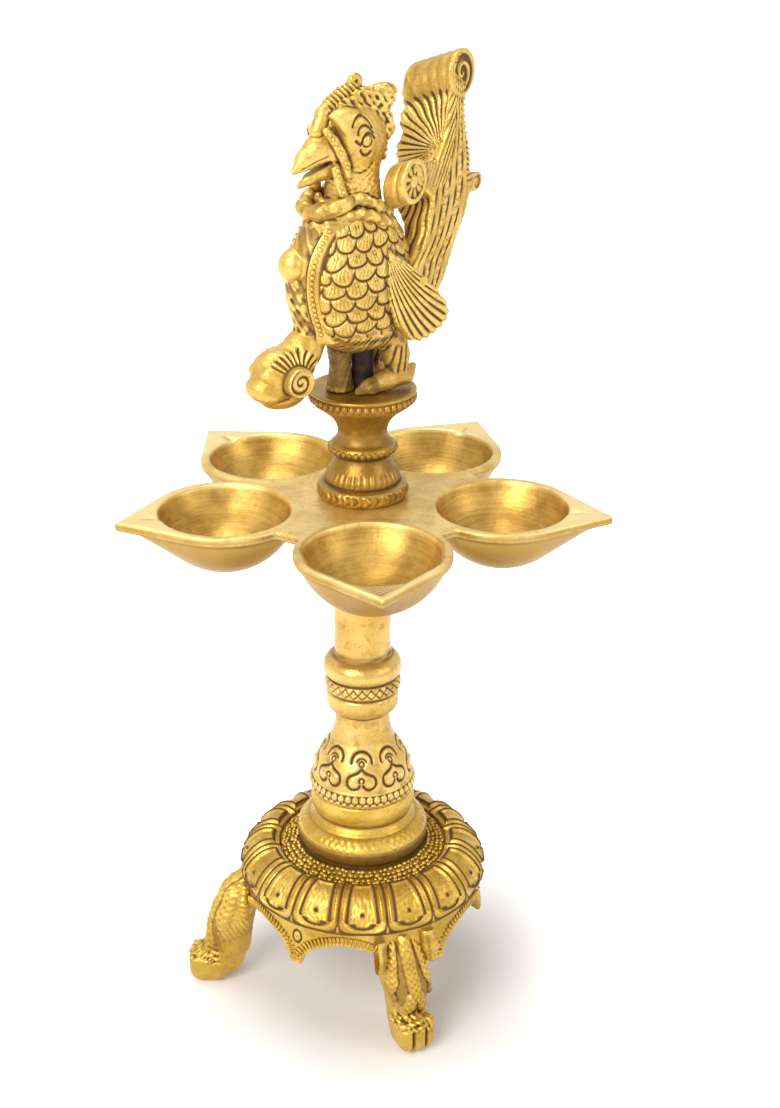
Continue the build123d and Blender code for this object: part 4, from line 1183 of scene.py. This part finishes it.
def tailMarks(a, c, h):  # relief of the near side and of the fan in front, and the share from back to front
    s = tailSizes
    back = np.interp(h, tailBack[:, 1], tailBack[:, 0])
    front = np.interp(-h, -tailFront[:, 1], tailFront[:, 0])
    f = (a - back) / np.maximum(front - back, 2.0)
    ribs = np.cos(f * 2 * math.pi * s["ribs"] + 0.5 * np.sin(0.35 * h + 3.0 * f))
    ribs = ribs * (0.7 + 0.3 * np.sin(0.8 * h + 9.0 * f))
    beads = np.cos(h * 3.0) * (np.cos(f * math.pi * s["ribs"]) > 0)
    leaf = np.cos((h + 1.5 * a) * 2.3)
    leafy = smooth(0.60, 0.68, f) * window(h, 57, 82, 2.0)
    tick = np.cos(h * 3.9 + 2.5 * f) * smooth(0.16, 0.10, f) * window(h, 55, 84, 2.0)
    plain = 0.34 * ribs * smooth(0.08, 0.16, f) + 0.18 * beads * (ribs > 0)
    side = (1 - leafy) * plain + leafy * 0.26 * leaf + 0.3 * tick
    up, out = h - s["fanMiddle"][0], s["fanMiddle"][1] - c
    turn = np.arctan2(up, out)
    fan = 0.20 * np.cos(turn * 46 + 0.4 * np.sin(h)) * smooth(0.6, 2.4, np.hypot(up, out))
    return side, fan + 0.08 * np.cos(turn * 8), f


def plumeField(a, c, h, nearGap):
    s = tailSizes
    side, fan, f = tailMarks(a, c, h)
    flat = flatShape(a, h, tailShape)
    teeth = 0.45 * np.abs(np.sin(h * 1.25)) * window(h, 60, 84, 1.0) * smooth(0.3, 0.0, f)
    lobes = 1.6 * np.abs(np.sin((h - 52) * 0.42)) * window(h, 53, 92, 1.5)
    farGap = s["far"] + 0.9 - lobes - c
    onNear, onFront = smooth(-1.4, -0.3, nearGap), smooth(0.72, 0.92, f)
    outline = flat - teeth - (fan + 0.1) * onFront * (1 - onNear)
    walls = np.maximum(nearGap - side * onNear * 0.9, farGap - 0.25 * np.cos(h * 2.2))
    plume = blendMax(outline, walls, 1.5)
    w = h - s["lean"] * (s["near"] - c)
    return blendMax(plume, (glide(s["notch"], w) - c) * 0.8 - far * ((w < 27) | (w > 58)), 1.0)


def topRollField(a, c, h, nearGap):
    s = tailSizes
    ra, rh, radius = s["topRoll"]
    r = np.hypot(a - ra, h - rh)
    coil = groove(spiral(a - ra, h - rh, s["coilPitch"]) - 1.7, 0.55) * (r < radius - 1.2)
    face = 0.7 * smooth(0.2, 0.9, radius - 0.9 - r) - 0.75 * coil
    drum = r - radius - 0.08 * np.cos(c * 2.2 + 0.5 * h) * smooth(0.5, -1, nearGap)
    ends = np.maximum(nearGap + face * smooth(-1.6, -0.8, nearGap), s["far"] + 0.6 - c)
    return blendMax(drum, ends, 0.9)


def lowRollField(a, c, h, nearGap):
    s = tailSizes
    ra, rh, radius = s["lowRoll"]
    r = np.hypot(a - ra, h - rh)
    petals = 0.28 * np.cos(9 * np.arctan2(h - rh, a - ra)) * window(r, 2.2, 4.6, 0.3)
    dimple = 0.6 * smooth(0.2, 0.7, radius - 1.1 - r) - 0.5 * smooth(2.0, 1.2, r) + petals
    ends = np.maximum(nearGap + dimple * smooth(-1.6, -0.8, nearGap), s["lowEnd"] - c)
    return blendMax(r - radius + 0.25 * groove(c - 6.4, 0.5), ends, 0.9)


def tailField(q):
    a, c, h = q.T
    s = tailSizes
    nearGap = c - s["near"]
    d = blendMin(plumeField(a, c, h, nearGap), topRollField(a, c, h, nearGap), 0.7)
    la, lh, lr = s["lowRoll"]
    link = flatShape(a, h, [(la, lh + lr - 0.4), (-4.0, 63.0), (0.0, 54.0), (la - 2, lh - 1)])
    link = blendMax(link, np.maximum(nearGap + 0.3, s["lowEnd"] - c), 0.8)
    d = blendMin(blendMin(d, link, 1.0), lowRollField(a, c, h, nearGap), 0.4)
    ba, bh, br = s["curl"]
    r = np.hypot(a - ba, h - bh)
    dish = 0.45 * smooth(0, 0.4, br - 0.7 - r) * smooth(-1.4, -0.8, nearGap)
    small = blendMax(r - br, np.maximum(nearGap + dish, s["curlEnd"] - c), 0.7)
    hook = flatShape(a, h, [(-18.0, 58.6), (ba - 0.6, bh + br - 0.3), (ba - 0.4, bh), (-18.0, 49.4)])
    hook = blendMax(hook, np.maximum(nearGap + 0.2, s["curlEnd"] - c), 0.7)
    return blendMin(d, np.minimum(small, hook), 0.5)


def tailInk(q):
    a, c, h = q.T
    s = tailSizes
    side, fan, f = tailMarks(a, c, h)
    onNear = smooth(-1.5, -0.6, c - s["near"])
    onFront = smooth(0.72, 0.92, f) * (1 - onNear)
    ta, th, tr = s["topRoll"]
    la, lh, lr = s["lowRoll"]
    top = np.hypot(a - ta, h - th)
    rolls = np.minimum(top - tr, np.hypot(a - la, h - lh) - lr - 0.3)
    away = smooth(-0.5, 0.6, rolls)
    coil = groove(spiral(a - ta, h - th, s["coilPitch"]) - 0.1, 0.45) * (top < tr - 1.2) * onNear
    drawn = 0.6 * onNear * (side < -0.16) + 0.6 * onFront * (fan < -0.1)
    return np.clip(away * drawn + 0.5 * coil + 0.5 * away * groove(rolls, 0.7), 0, 1)


sculptPiece("birdTail", tailField, (-29, -10, 20), (18, 10.4, 94.6), tailSizes["step"], tailPlace,
            "finial", "bird_tail", brass, tailInk)


# breast strap and lion mask
strapSizes = {"half": 7.2, "step": 0.27, "ear": (28.9, 9.0), "earRadius": 4.3, "coilPitch": 2.2, "seam": 4.7,
              "front": [(15.0, 20.5), (18.0, 22.6), (22.0, 24.0), (28.0, 25.8), (33.6, 26.5), (39.0, 26.0),
                        (43.0, 24.6), (46.0, 22.8), (50.0, 19.6), (54.0, 16.0)],
              "neck": [(17.5, 0, 21.0, 4.4), (22.5, 0, 15.0, 5.4), (27.0, 0, 10.5, 6.0)],
              "beads": (20.5, 50.0, 1.5)}


def strapTop(v, w):
    return glide(strapSizes["front"], np.clip(w, 15, 54)) - 5.4 * (v / strapSizes["half"]) ** 2


def maneMarks(u, side, w):  # distance from the ear, strokes of the mane round it and its coil
    s = strapSizes
    x, y = u - s["ear"][0], w - s["ear"][1]
    r, angle = np.hypot(x, y), np.arctan2(y, x)
    mane = np.cos(angle * 25) * window(r, 4.8, 9.0, 0.5) * window(np.degrees(angle) % 360, 35, 215, 8)
    return r, mane * smooth(2.6, 4.6, side), spiral(x, y, s["coilPitch"])


def bandField(q, u, v, w, side):
    s = strapSizes
    skin, _, _ = torsoSkin(u, v, w)
    grain = 0.3 * rough(q, 1.5, 31) * smooth(4.9, 4.2, side)
    hem = 0.35 * window(side, 5.0, 7.2, 0.25) - 0.3 * groove(side - s["seam"], 0.3)
    face = (u - strapTop(v, w)) * 0.9 - hem - grain
    band = blendMax(face, np.maximum(side - s["half"], -1.8 - skin), 0.8)
    return blendMax(band, np.maximum(w - 53.0, 17.0 - w), 1.0)


def strapField(q):
    s = strapSizes
    u, v, w = q.T
    side = np.abs(v)
    m = np.stack([u, side, w], 1)
    neck = chain(m, s["neck"], 1.5)
    skull = egg(m, (29.2, 0, 9.8), (8.4, 7.8, 7.4))
    brow = blendMin(egg(m, (34.4, 3.0, 11.2), (3.6, 2.6, 2.2)), egg(m, (32.0, 0, 13.2), (5.0, 4.4, 3.2)), 1.0)
    muzzle = blendMin(egg(m, (36.0, 0, 6.6), (4.4, 5.0, 3.9)), egg(m, (34.8, 2.6, 5.0), (4.2, 3.2, 3.2)), 1.0)
    jaw = egg(m, (29.4, 0, 3.8), (7.6, 5.4, 4.4))
    d = blendMin(blendMin(blendMin(skull, muzzle, 1.6), brow, 1.0), blendMin(jaw, neck, 1.5), 1.0)
    d = d + 0.5 * groove(strokeGap(u, w, [(40.0, 3.8), (35.0, 2.6), (30.6, 3.6)]), 0.6) * (side < 6)
    d = d + 0.5 * groove(np.hypot(u - 36.4, side - 3.3) + np.abs(w - 10.2) * 0.6, 0.8)
    r, mane, coil = maneMarks(u, side, w)
    face = 0.6 * groove(coil - 1.1, 0.45) * (r < 3.7) - 0.3 * groove(r - 3.8, 0.5)
    ear = blendMax(r - s["earRadius"], np.maximum(side - 9.6 + face, 4.0 - side), 0.8)
    return blendMin(bandField(q, u, v, w, side), blendMin(d - 0.42 * mane, ear, 0.4), 1.2)


def strapInk(q):
    u, v, w = q.T
    side = np.abs(v)
    r, mane, coil = maneMarks(u, side, w)
    ear = 0.5 * (r < 3.9) * groove(coil - 1.1, 0.4) * (side > 7.5) + 0.6 * groove(r - 4.6, 0.4) * (side > 5)
    band = (w > 20.0) * (u < strapTop(v, w) + 0.8)
    edges = 0.45 * groove(side - strapSizes["seam"], 0.35) + 0.9 * smooth(6.9, 7.15, side)
    pits = 0.6 * (rough(q, 1.5, 31) < 0.2) * (side < 4.4)
    return np.clip(0.55 * (mane < -0.45) + ear + band * (edges + pits), 0, 1)


sculptPiece("breastStrap", strapField, (5, -10.6, -1.0), (41.2, 10.6, 55), strapSizes["step"], birdPlace,
            "finial", "breast_strap", brass, strapInk)


# rivet boss and the beads along the hem
bossSizes = {"middle": (25.4, 0.0, 39.4), "cap": (3.6, 4.2, 4.6), "rim": 4.6, "rimAt": 24.6, "back": 20.5,
             "step": 0.3}


def bossField(q):
    s = bossSizes
    u, v, w = q.T
    rim = np.hypot((w - s["middle"][2]) / 1.08, v) - s["rim"]
    rim = np.maximum(rim, np.abs(u - s["rimAt"] + 0.06 * v * v) - 0.9)
    return np.maximum(blendMin(egg(q, s["middle"], s["cap"]), rim, 0.6), s["back"] - u)


sculptPiece("strapBoss", bossField, (20, -6, 33), (30, 6, 46), bossSizes["step"], birdPlace,
            "finial", "strap_rivet", brass)

hemW = np.arange(*strapSizes["beads"])
hemV = np.full(len(hemW), 6.1)
hemLine = np.stack([strapTop(hemV, hemW) + 0.35, hemV, hemW], 1)
sideBeads("hemBeads", hemLine, np.tile([0.72, 0.69, 0.0], (len(hemW), 1)), "breast_strap", 0.78, 0.12, 8)


# lion legs: a outwards from the middle, t round it, z up
legSizes = {"places": {"leg_left": (180.0, 58.0, 0.0), "leg_front": (-66.0, 45.5, 3.0),
                       "leg_rear": (59.5, 51.0, 0.0)},  # angle, reach and lean
            "root": 37.6, "step": 0.34, "low": 8.0, "high": 41.4,
            "outer": [(8.0, 0.56), (12.0, 0.58), (17.0, 0.62), (22.4, 0.60), (28.2, 0.49), (35.0, 0.33),
                      (41.4, 0.02)],
            "shank": ((38.5, 3.4), (33.0, 5.4), (26.0, 6.3), (20.0, 6.6)),
            "flap": ((0.4, 8.2, 41.0, 2.2), (0.9, 8.8, 36.0, 2.7), (0.9, 9.0, 32.0, 2.0)),
            "toe": 2.15}


def strands(t, z):  # height of the scaled leaves on the shank, and how dark the gaps are
    side = np.abs(t)
    best, mark = np.zeros(len(t)), np.zeros(len(t))
    drop = 41.0 - z
    leaves = ((side - 0.9 - 0.22 * np.maximum(23.5 - z, 0), 1.75, 11.6, 23.5),
              (side - 4.7 - 0.12 * drop, 2.05, 22.6, 43.0),
              (t - 0.02 * drop, 2.35, 19.8, 43.0))
    for middle, half, low, high in leaves:
        half = half * np.sqrt(np.clip((z - low) / 4.0, 0, 1)) * smooth(high + 0.4, high - 1.5, z) + 1e-3
        x = middle / half
        inside = np.clip(1 - x * x, 0, 1)
        dots = np.cos(2 * math.pi * middle / 2.1) * np.cos(2 * math.pi * z / 2.3)
        best = np.where(inside > 0, (1.15 + 0.22 * dots) * np.sqrt(inside), best)
        mark = np.where(inside > 0, 0.25 * (dots < -0.3), mark)
    bare = (best < 0.25) & (side < 8.2)
    return best, np.where(bare, 0.5, mark) * window(z, 13.0, 41.0, 0.8)


def legField(reach, lean):
    s = legSizes
    root = s["root"]

    def outer(z):
        return root + (reach - root) * glide(s["outer"], np.clip(z, s["low"], s["high"]))

    def axes(q):
        a, t, z = q.T
        return a, t + lean * smooth(12.0, 40.0, z), z

    def tuftAt(a, z):
        return window(z, 8.8, 15.5, 0.8) * smooth(reach - 13.0, reach - 9.0, a)

    def pawField(a, t, z, body, fur):
        box = np.abs(np.stack([a - (reach - 6.9), t, z - 6.1], 1)) - np.array([2.3, 1.6, 1.5])
        paw = np.sqrt((np.maximum(box, 0) ** 2).sum(1)) + np.minimum(box.max(1), 0) - 4.6
        paw = blendMin(paw, taper(body, (reach - 11.3, 0, 8.6), (reach - 8.0, 0, 7.0), 7.0, 6.6), 1.5)
        slit = groove(np.abs(t) - s["toe"], 0.55) * smooth(reach - 6.5, reach - 3.5, a) * smooth(10.4, 8.6, z)
        return paw - 0.55 * fur * tuftAt(a, z) + 1.3 * slit

    def shankField(a, t, z, body):
        stops = [(float(outer(h)) - r, 0, h, r) for h, r in s["shank"]]
        shank = chain(body, stops + [(reach - 13.7, 0, 14.5, 6.6), (reach - 11.3, 0, 8.8, 7.0)], 2.0)
        relief, _ = strands(t, z)
        return shank - relief * smooth(-1.0, 2.0, a - outer(z) + 5.0) * smooth(10.5, 13.0, z)

    def field(q):
        a, t, z = axes(q)
        side = np.abs(t)
        body = np.stack([a, t * (1.22 - 0.26 * smooth(16.0, 26.0, z)), z], 1)
        fur = rough(q, 1.9, 4)
        d = blendMin(shankField(a, t, z, body) - 0.06 * fur, pawField(a, t, z, body, fur), 1.2)
        leaf = np.stack([a + 0.6 * (z - 22.4), side, z], 1)
        leaf = egg(leaf, (float(outer(22.0)) - 7.2, 6.0, 22.4), (4.6, 1.5, 4.4))
        leaf = leaf - 0.2 * np.cos(3.4 * (a - 0.6 * z))
        flap = [((root + out) * 1.3, across, up, r) for out, across, up, r in s["flap"]]
        flap = chain(np.stack([a * 1.3, side, z], 1), flap, 0.8)
        flap = flap - 0.22 * np.cos(z * 3.0) * smooth(9.0, 10.2, side)
        d = blendMin(d, np.minimum(leaf, flap), 0.4)
        d = np.maximum(d, root - 2.0 - a - far * (z < 29.6))
        return blendMax(blendMax(d, 0.05 - z, 0.5), z - 42.2, 0.4)

    def ink(q):
        a, t, z = axes(q)
        _, mark = strands(t, z)
        side = np.abs(t)
        onFront = smooth(-1.0, 1.0, a - outer(z) + 3.6) * smooth(9.0, 8.0, side)
        slit = groove(side - s["toe"], 0.4) * smooth(reach - 5.0, reach - 3.2, a)
        slit = slit * smooth(10.0, 8.6, z) * (z > 0.8)
        return np.clip(mark * onFront + 0.9 * slit + 0.45 * (rough(q, 1.9, 4) < -0.3) * tuftAt(a, z), 0, 1)

    return field, ink


for node, (angle, reach, lean) in legSizes["places"].items():
    field, ink = legField(reach, lean)
    low, high = (min(legSizes["root"] - 3, reach - 22), -12.5, -0.6), (max(reach + 1.2, 47.0), 12.5, 43.2)
    sculptPiece(node.replace("leg_", "lionLeg_"), field, low, high, legSizes["step"],
                lambda q: turned(q, angle, (0, 0, 0)), "base", node, baseBrass, ink)


# plate of cups
plateSizes = {"top": 175.0, "thickness": 2.6, "angles": (-86.0, -13.5, 59.0, 132.5, 197.5), "middle": 42.0,
              "lobe": 22.2, "tip": 74.5, "bowl": 20.3, "bowlRise": 5.6, "shell": 22.2, "shellRise": 4.4,
              "lip": 2.3, "ledge": 1.5, "disc": 37.5, "hub": 12.0, "hubZ": 167.4, "bore": 3.4, "step": 0.66}
plateLook = {"bright": (0.90, 0.73, 0.34), "pale": (0.82, 0.60, 0.21), "gold": (0.60, 0.375, 0.085),
             "brown": (0.38, 0.21, 0.032), "deep": (0.20, 0.105, 0.016)}


def cupAxes(p, angle):
    c, d = math.cos(math.radians(angle)), math.sin(math.radians(angle))
    return p[:, 0] * c + p[:, 1] * d - plateSizes["middle"], -p[:, 0] * d + p[:, 1] * c


def plateField(p):
    s = plateSizes
    z = p[:, 2] - s["top"]
    flat = np.hypot(p[:, 0], p[:, 1])
    star = flat - s["disc"]
    cups, bowls = np.full(len(p), far), np.full(len(p), far)
    reach = s["tip"] - s["middle"]
    for n, angle in enumerate(s["angles"]):
        x, y = cupAxes(p, angle)
        drop = teardrop(x, y, s["lobe"], reach)
        star = blendMin(star, drop, 2.4)
        q = np.stack([x, y, z], 1)
        cups = np.minimum(cups, taper(q, (0, 0, s["shellRise"]), (reach - 3.0, 0, -0.8), s["shell"], 0.7))
        if n == 0:  # the front cup pours over a sunk, engraved ledge
            lip = np.maximum(np.maximum(drop + s["lip"], -s["ledge"] - z), 6.0 - x)
        else:
            lip = taper(q, (s["bowl"] - 3.0, 0, 2.0), (reach - 8.0, 0, 0.9), 3.0, 0.9)
        dent = 0.12 * np.sin(0.35 * x + n) * np.cos(0.3 * y + 2 * n)
        bowls = np.minimum(bowls, blendMin(ball(q, (0, 0, s["bowlRise"]), s["bowl"]), lip, 0.8) + dent)
    half, hubHalf = s["thickness"] / 2, (s["top"] - s["hubZ"]) / 2
    slab = blendMax(star, np.abs(z + half) - half, 0.7)
    body = blendMin(slab, np.maximum(np.maximum(cups, z), star + 0.15), 0.9)
    body = blendMin(body, np.maximum(flat - s["hub"], np.abs(z + hubHalf) - hubHalf), 0.8)
    body = blendMax(body, -bowls, 0.55)
    return np.maximum(body, s["bore"] - flat)


def plateMarks(p, facing):  # facing is how far each point looks up
    s = plateSizes
    near, ring = np.full(len(p), far), np.zeros((len(p), 3))
    depth = s["top"] - p[:, 2]
    for n, angle in enumerate(s["angles"]):
        x, y = cupAxes(p, angle)
        r, turn = np.hypot(x, y), np.arctan2(y, x)
        closer = r < near
        near = np.where(closer, r, near)
        ring[closer] = np.stack([r, 4.0 * np.sin(turn), 4.0 * np.cos(turn) + 20 * n], 1)[closer]
    x, y = cupAxes(p, s["angles"][0])
    r = np.hypot(x, y)
    spout = (x > 7.0) * (np.abs(depth - s["ledge"]) < 0.5) * (r > 18.4) * (r < 30) * (facing > 0.6)
    inside = (near < 19.9) * smooth(0.5, 1.5, depth) * (facing > 0.02)
    edge = groove(depth - 1.2, 0.7) * (facing < 0.5) * (near > 20.5)
    # worn is a painted highlight on outer tips that face up; under is painted shade on faces that look down
    worn = smooth(52.0, 62.0, np.hypot(p[:, 0], p[:, 1])) * smooth(0.3, 0.8, facing) * (1 - inside)
    return {"under": smooth(0.1, -0.5, facing), "worn": worn, "inside": inside, "spout": spout,
            "ink": 0.6 * edge, "ring": ring, "spoutAt": np.stack([x, np.abs(y), 0 * x], 1)}


def plateFinish(look):
    f = Finish(bpy.data.materials.new("cupBrass"))
    where = f.place()
    inside = f.attribute("inside").clamp()
    brushed = f.noise(f.stretch(f.attribute("ring", "Vector"), (3.4, 0.22, 0.22)), 1.0, 5.0, 0.65)
    cloud = f.noise(where, 55.0, 5.0)
    fine = f.noise(where, 900.0, 2.0)
    blot = f.noise(where, 170.0, 5.0, 0.65)
    top = f.mix((cloud * 0.6 + blot * 0.4).span(0.36, 0.62), look["gold"], look["pale"])
    top = f.mix(fine.span(0.54, 0.74) * 0.4, top, look["brown"])
    bowl = f.mix((brushed * 0.45 + blot * 0.55).span(0.36, 0.62), look["brown"], look["gold"])
    bowl = f.mix(cloud.span(0.60, 0.80) * 0.6, bowl, look["deep"])
    # painted highlight (bright) on the up-facing tips, and painted shade (brown) on faces that look down
    color = f.mix(f.attribute("worn").clamp() * 0.7, f.mix(inside, top, bowl), look["bright"])
    color = f.mix(f.attribute("under").clamp() * (0.6 + 0.5 * cloud), color, look["brown"])
    wave = {"Vector": f.attribute("spoutAt", "Vector"), "Scale": 0.5, "Distortion": 1.5, "Detail": 1.0}
    veins = f.node("ShaderNodeTexWave", {"bands_direction": "DIAGONAL"}, wave, "Fac")
    engraved = f.attribute("spout").clamp() * veins.span(0.45, 0.7) * 0.6
    dark = (f.attribute("wear") * 3.0).span(0.1, 1.0) * 0.5 + f.attribute("ink").clamp() + engraved
    color = f.mix(dark.clamp(), color, look["deep"])
    uneven = 0.2 * (brushed - 0.5) + 0.12 * (fine - 0.5) + 0.15 * (cloud - 0.5)
    f.set(Base_Color=color, Metallic=0.62 + 0.08 * inside, Roughness=0.38 + uneven)
    f.bump(brushed * (0.10 + 0.2 * inside) + fine * 0.5 + blot * 0.4, 0.45)
    return f.owner


verts, quads = sculpt(plateField, (-74, -76, 155), (76, 68, 177), plateSizes["step"])
marks = {"wear": wearOf(verts, quads), **plateMarks(verts, normalsOf(verts, quads)[:, 2])}
place(meshOf("cupPlate", verts, quads, marks), "cup_plate", "cup_plate", plateFinish(plateLook))
bpy.data.objects.remove(bead)


# camera, light and floor, in metres
shot = {"place": (0, -0.4911, 0.3750), "target": (0, 0, 0.1553), "sensor": 36.0, "lens": 57.9,
        "shift": 0.0248}
lamps = {"frontSoft": {"place": (-0.55, -0.85, 0.85), "target": (0, 0, 0.16), "size": 0.8, "power": 12.0,
                       "tint": (1, 0.98, 0.95)},
         "sideSoft": {"place": (0.9, -0.35, 0.65), "target": (0, 0, 0.16), "size": 0.5, "power": 1.8,
                      "tint": (1, 1, 1)},
         "topSoft": {"place": (-0.15, 0.1, 1.1), "target": (0, 0, 0.12), "size": 0.6, "power": 4.0,
                     "tint": (1, 1, 1)}}
studioLook = {"ambient": 0.45, "seen": 1.0}
# near is a warmer, darker grey for the floor round the piece: painted warm shade
floorLook = {"half": 4.0, "near": (0.82, 0.80, 0.79), "away": (0.86, 0.86, 0.86),
             "glowNear": (0.08, 0.08, 0.08), "glowAway": (0.75, 0.75, 0.75),
             "lampSide": (0.05, 0.26), "cameraSide": (0.03, 0.11)}


def aimAt(thing, place, target):
    thing.location = place
    thing.rotation_euler = (Vector(target) - thing.location).to_track_quat("-Z", "Y").to_euler()


camera = linked("camera", bpy.data.cameras.new("camera"))
aimAt(camera, shot["place"], shot["target"])
camera.data.sensor_fit = "VERTICAL"
camera.data.sensor_height = shot["sensor"]
camera.data.lens = shot["lens"]
camera.data.shift_x = shot["shift"]
camera.data.clip_start = 0.01
bpy.context.scene.camera = camera

for name, s in lamps.items():
    light = bpy.data.lights.new(name, "AREA")
    light.shape, light.size, light.energy, light.color = "DISK", s["size"], s["power"], s["tint"]
    aimAt(linked(name, light), s["place"], s["target"])

studio = Finish(bpy.data.worlds.new("studio"), "Background")
seen = studio.ray("Is Camera Ray").atLeast(studio.ray("Is Glossy Ray"))
seen = seen.atLeast(studio.ray("Is Transmission Ray"))
extra = studioLook["seen"] - studioLook["ambient"]
studio.set(Color=(1, 1, 1), Strength=studioLook["ambient"] + extra * seen)
bpy.context.scene.world = studio.owner


def floorFinish(look):  # whiter to the camera than to the lamp
    f = Finish(bpy.data.materials.new("paleFloor"))
    away = f.node("ShaderNodeVectorMath", {"operation": "LENGTH"}, {0: f.place()}, "Value")
    glow = away.span(*look["lampSide"]).atLeast(f.ray("Is Camera Ray") * away.span(*look["cameraSide"]))
    f.set(Base_Color=f.mix(glow, look["near"], look["away"]), Roughness=0.9, Specular_IOR_Level=0.0,
          Emission_Color=f.mix(glow, look["glowNear"], look["glowAway"]), Emission_Strength=1.0)
    return f.owner


edge = floorLook["half"]
floorMesh = bpy.data.meshes.new("floor")
floorMesh.from_pydata([(-edge, -edge, 0), (edge, -edge, 0), (edge, edge, 0), (-edge, edge, 0)], [],
                      [(0, 1, 2, 3)])
floorMesh.materials.append(floorFinish(floorLook))
floor = linked("floor", floorMesh)
print("camera, lamps and floor ready")

bpy.context.scene.view_settings.view_transform = "Standard"
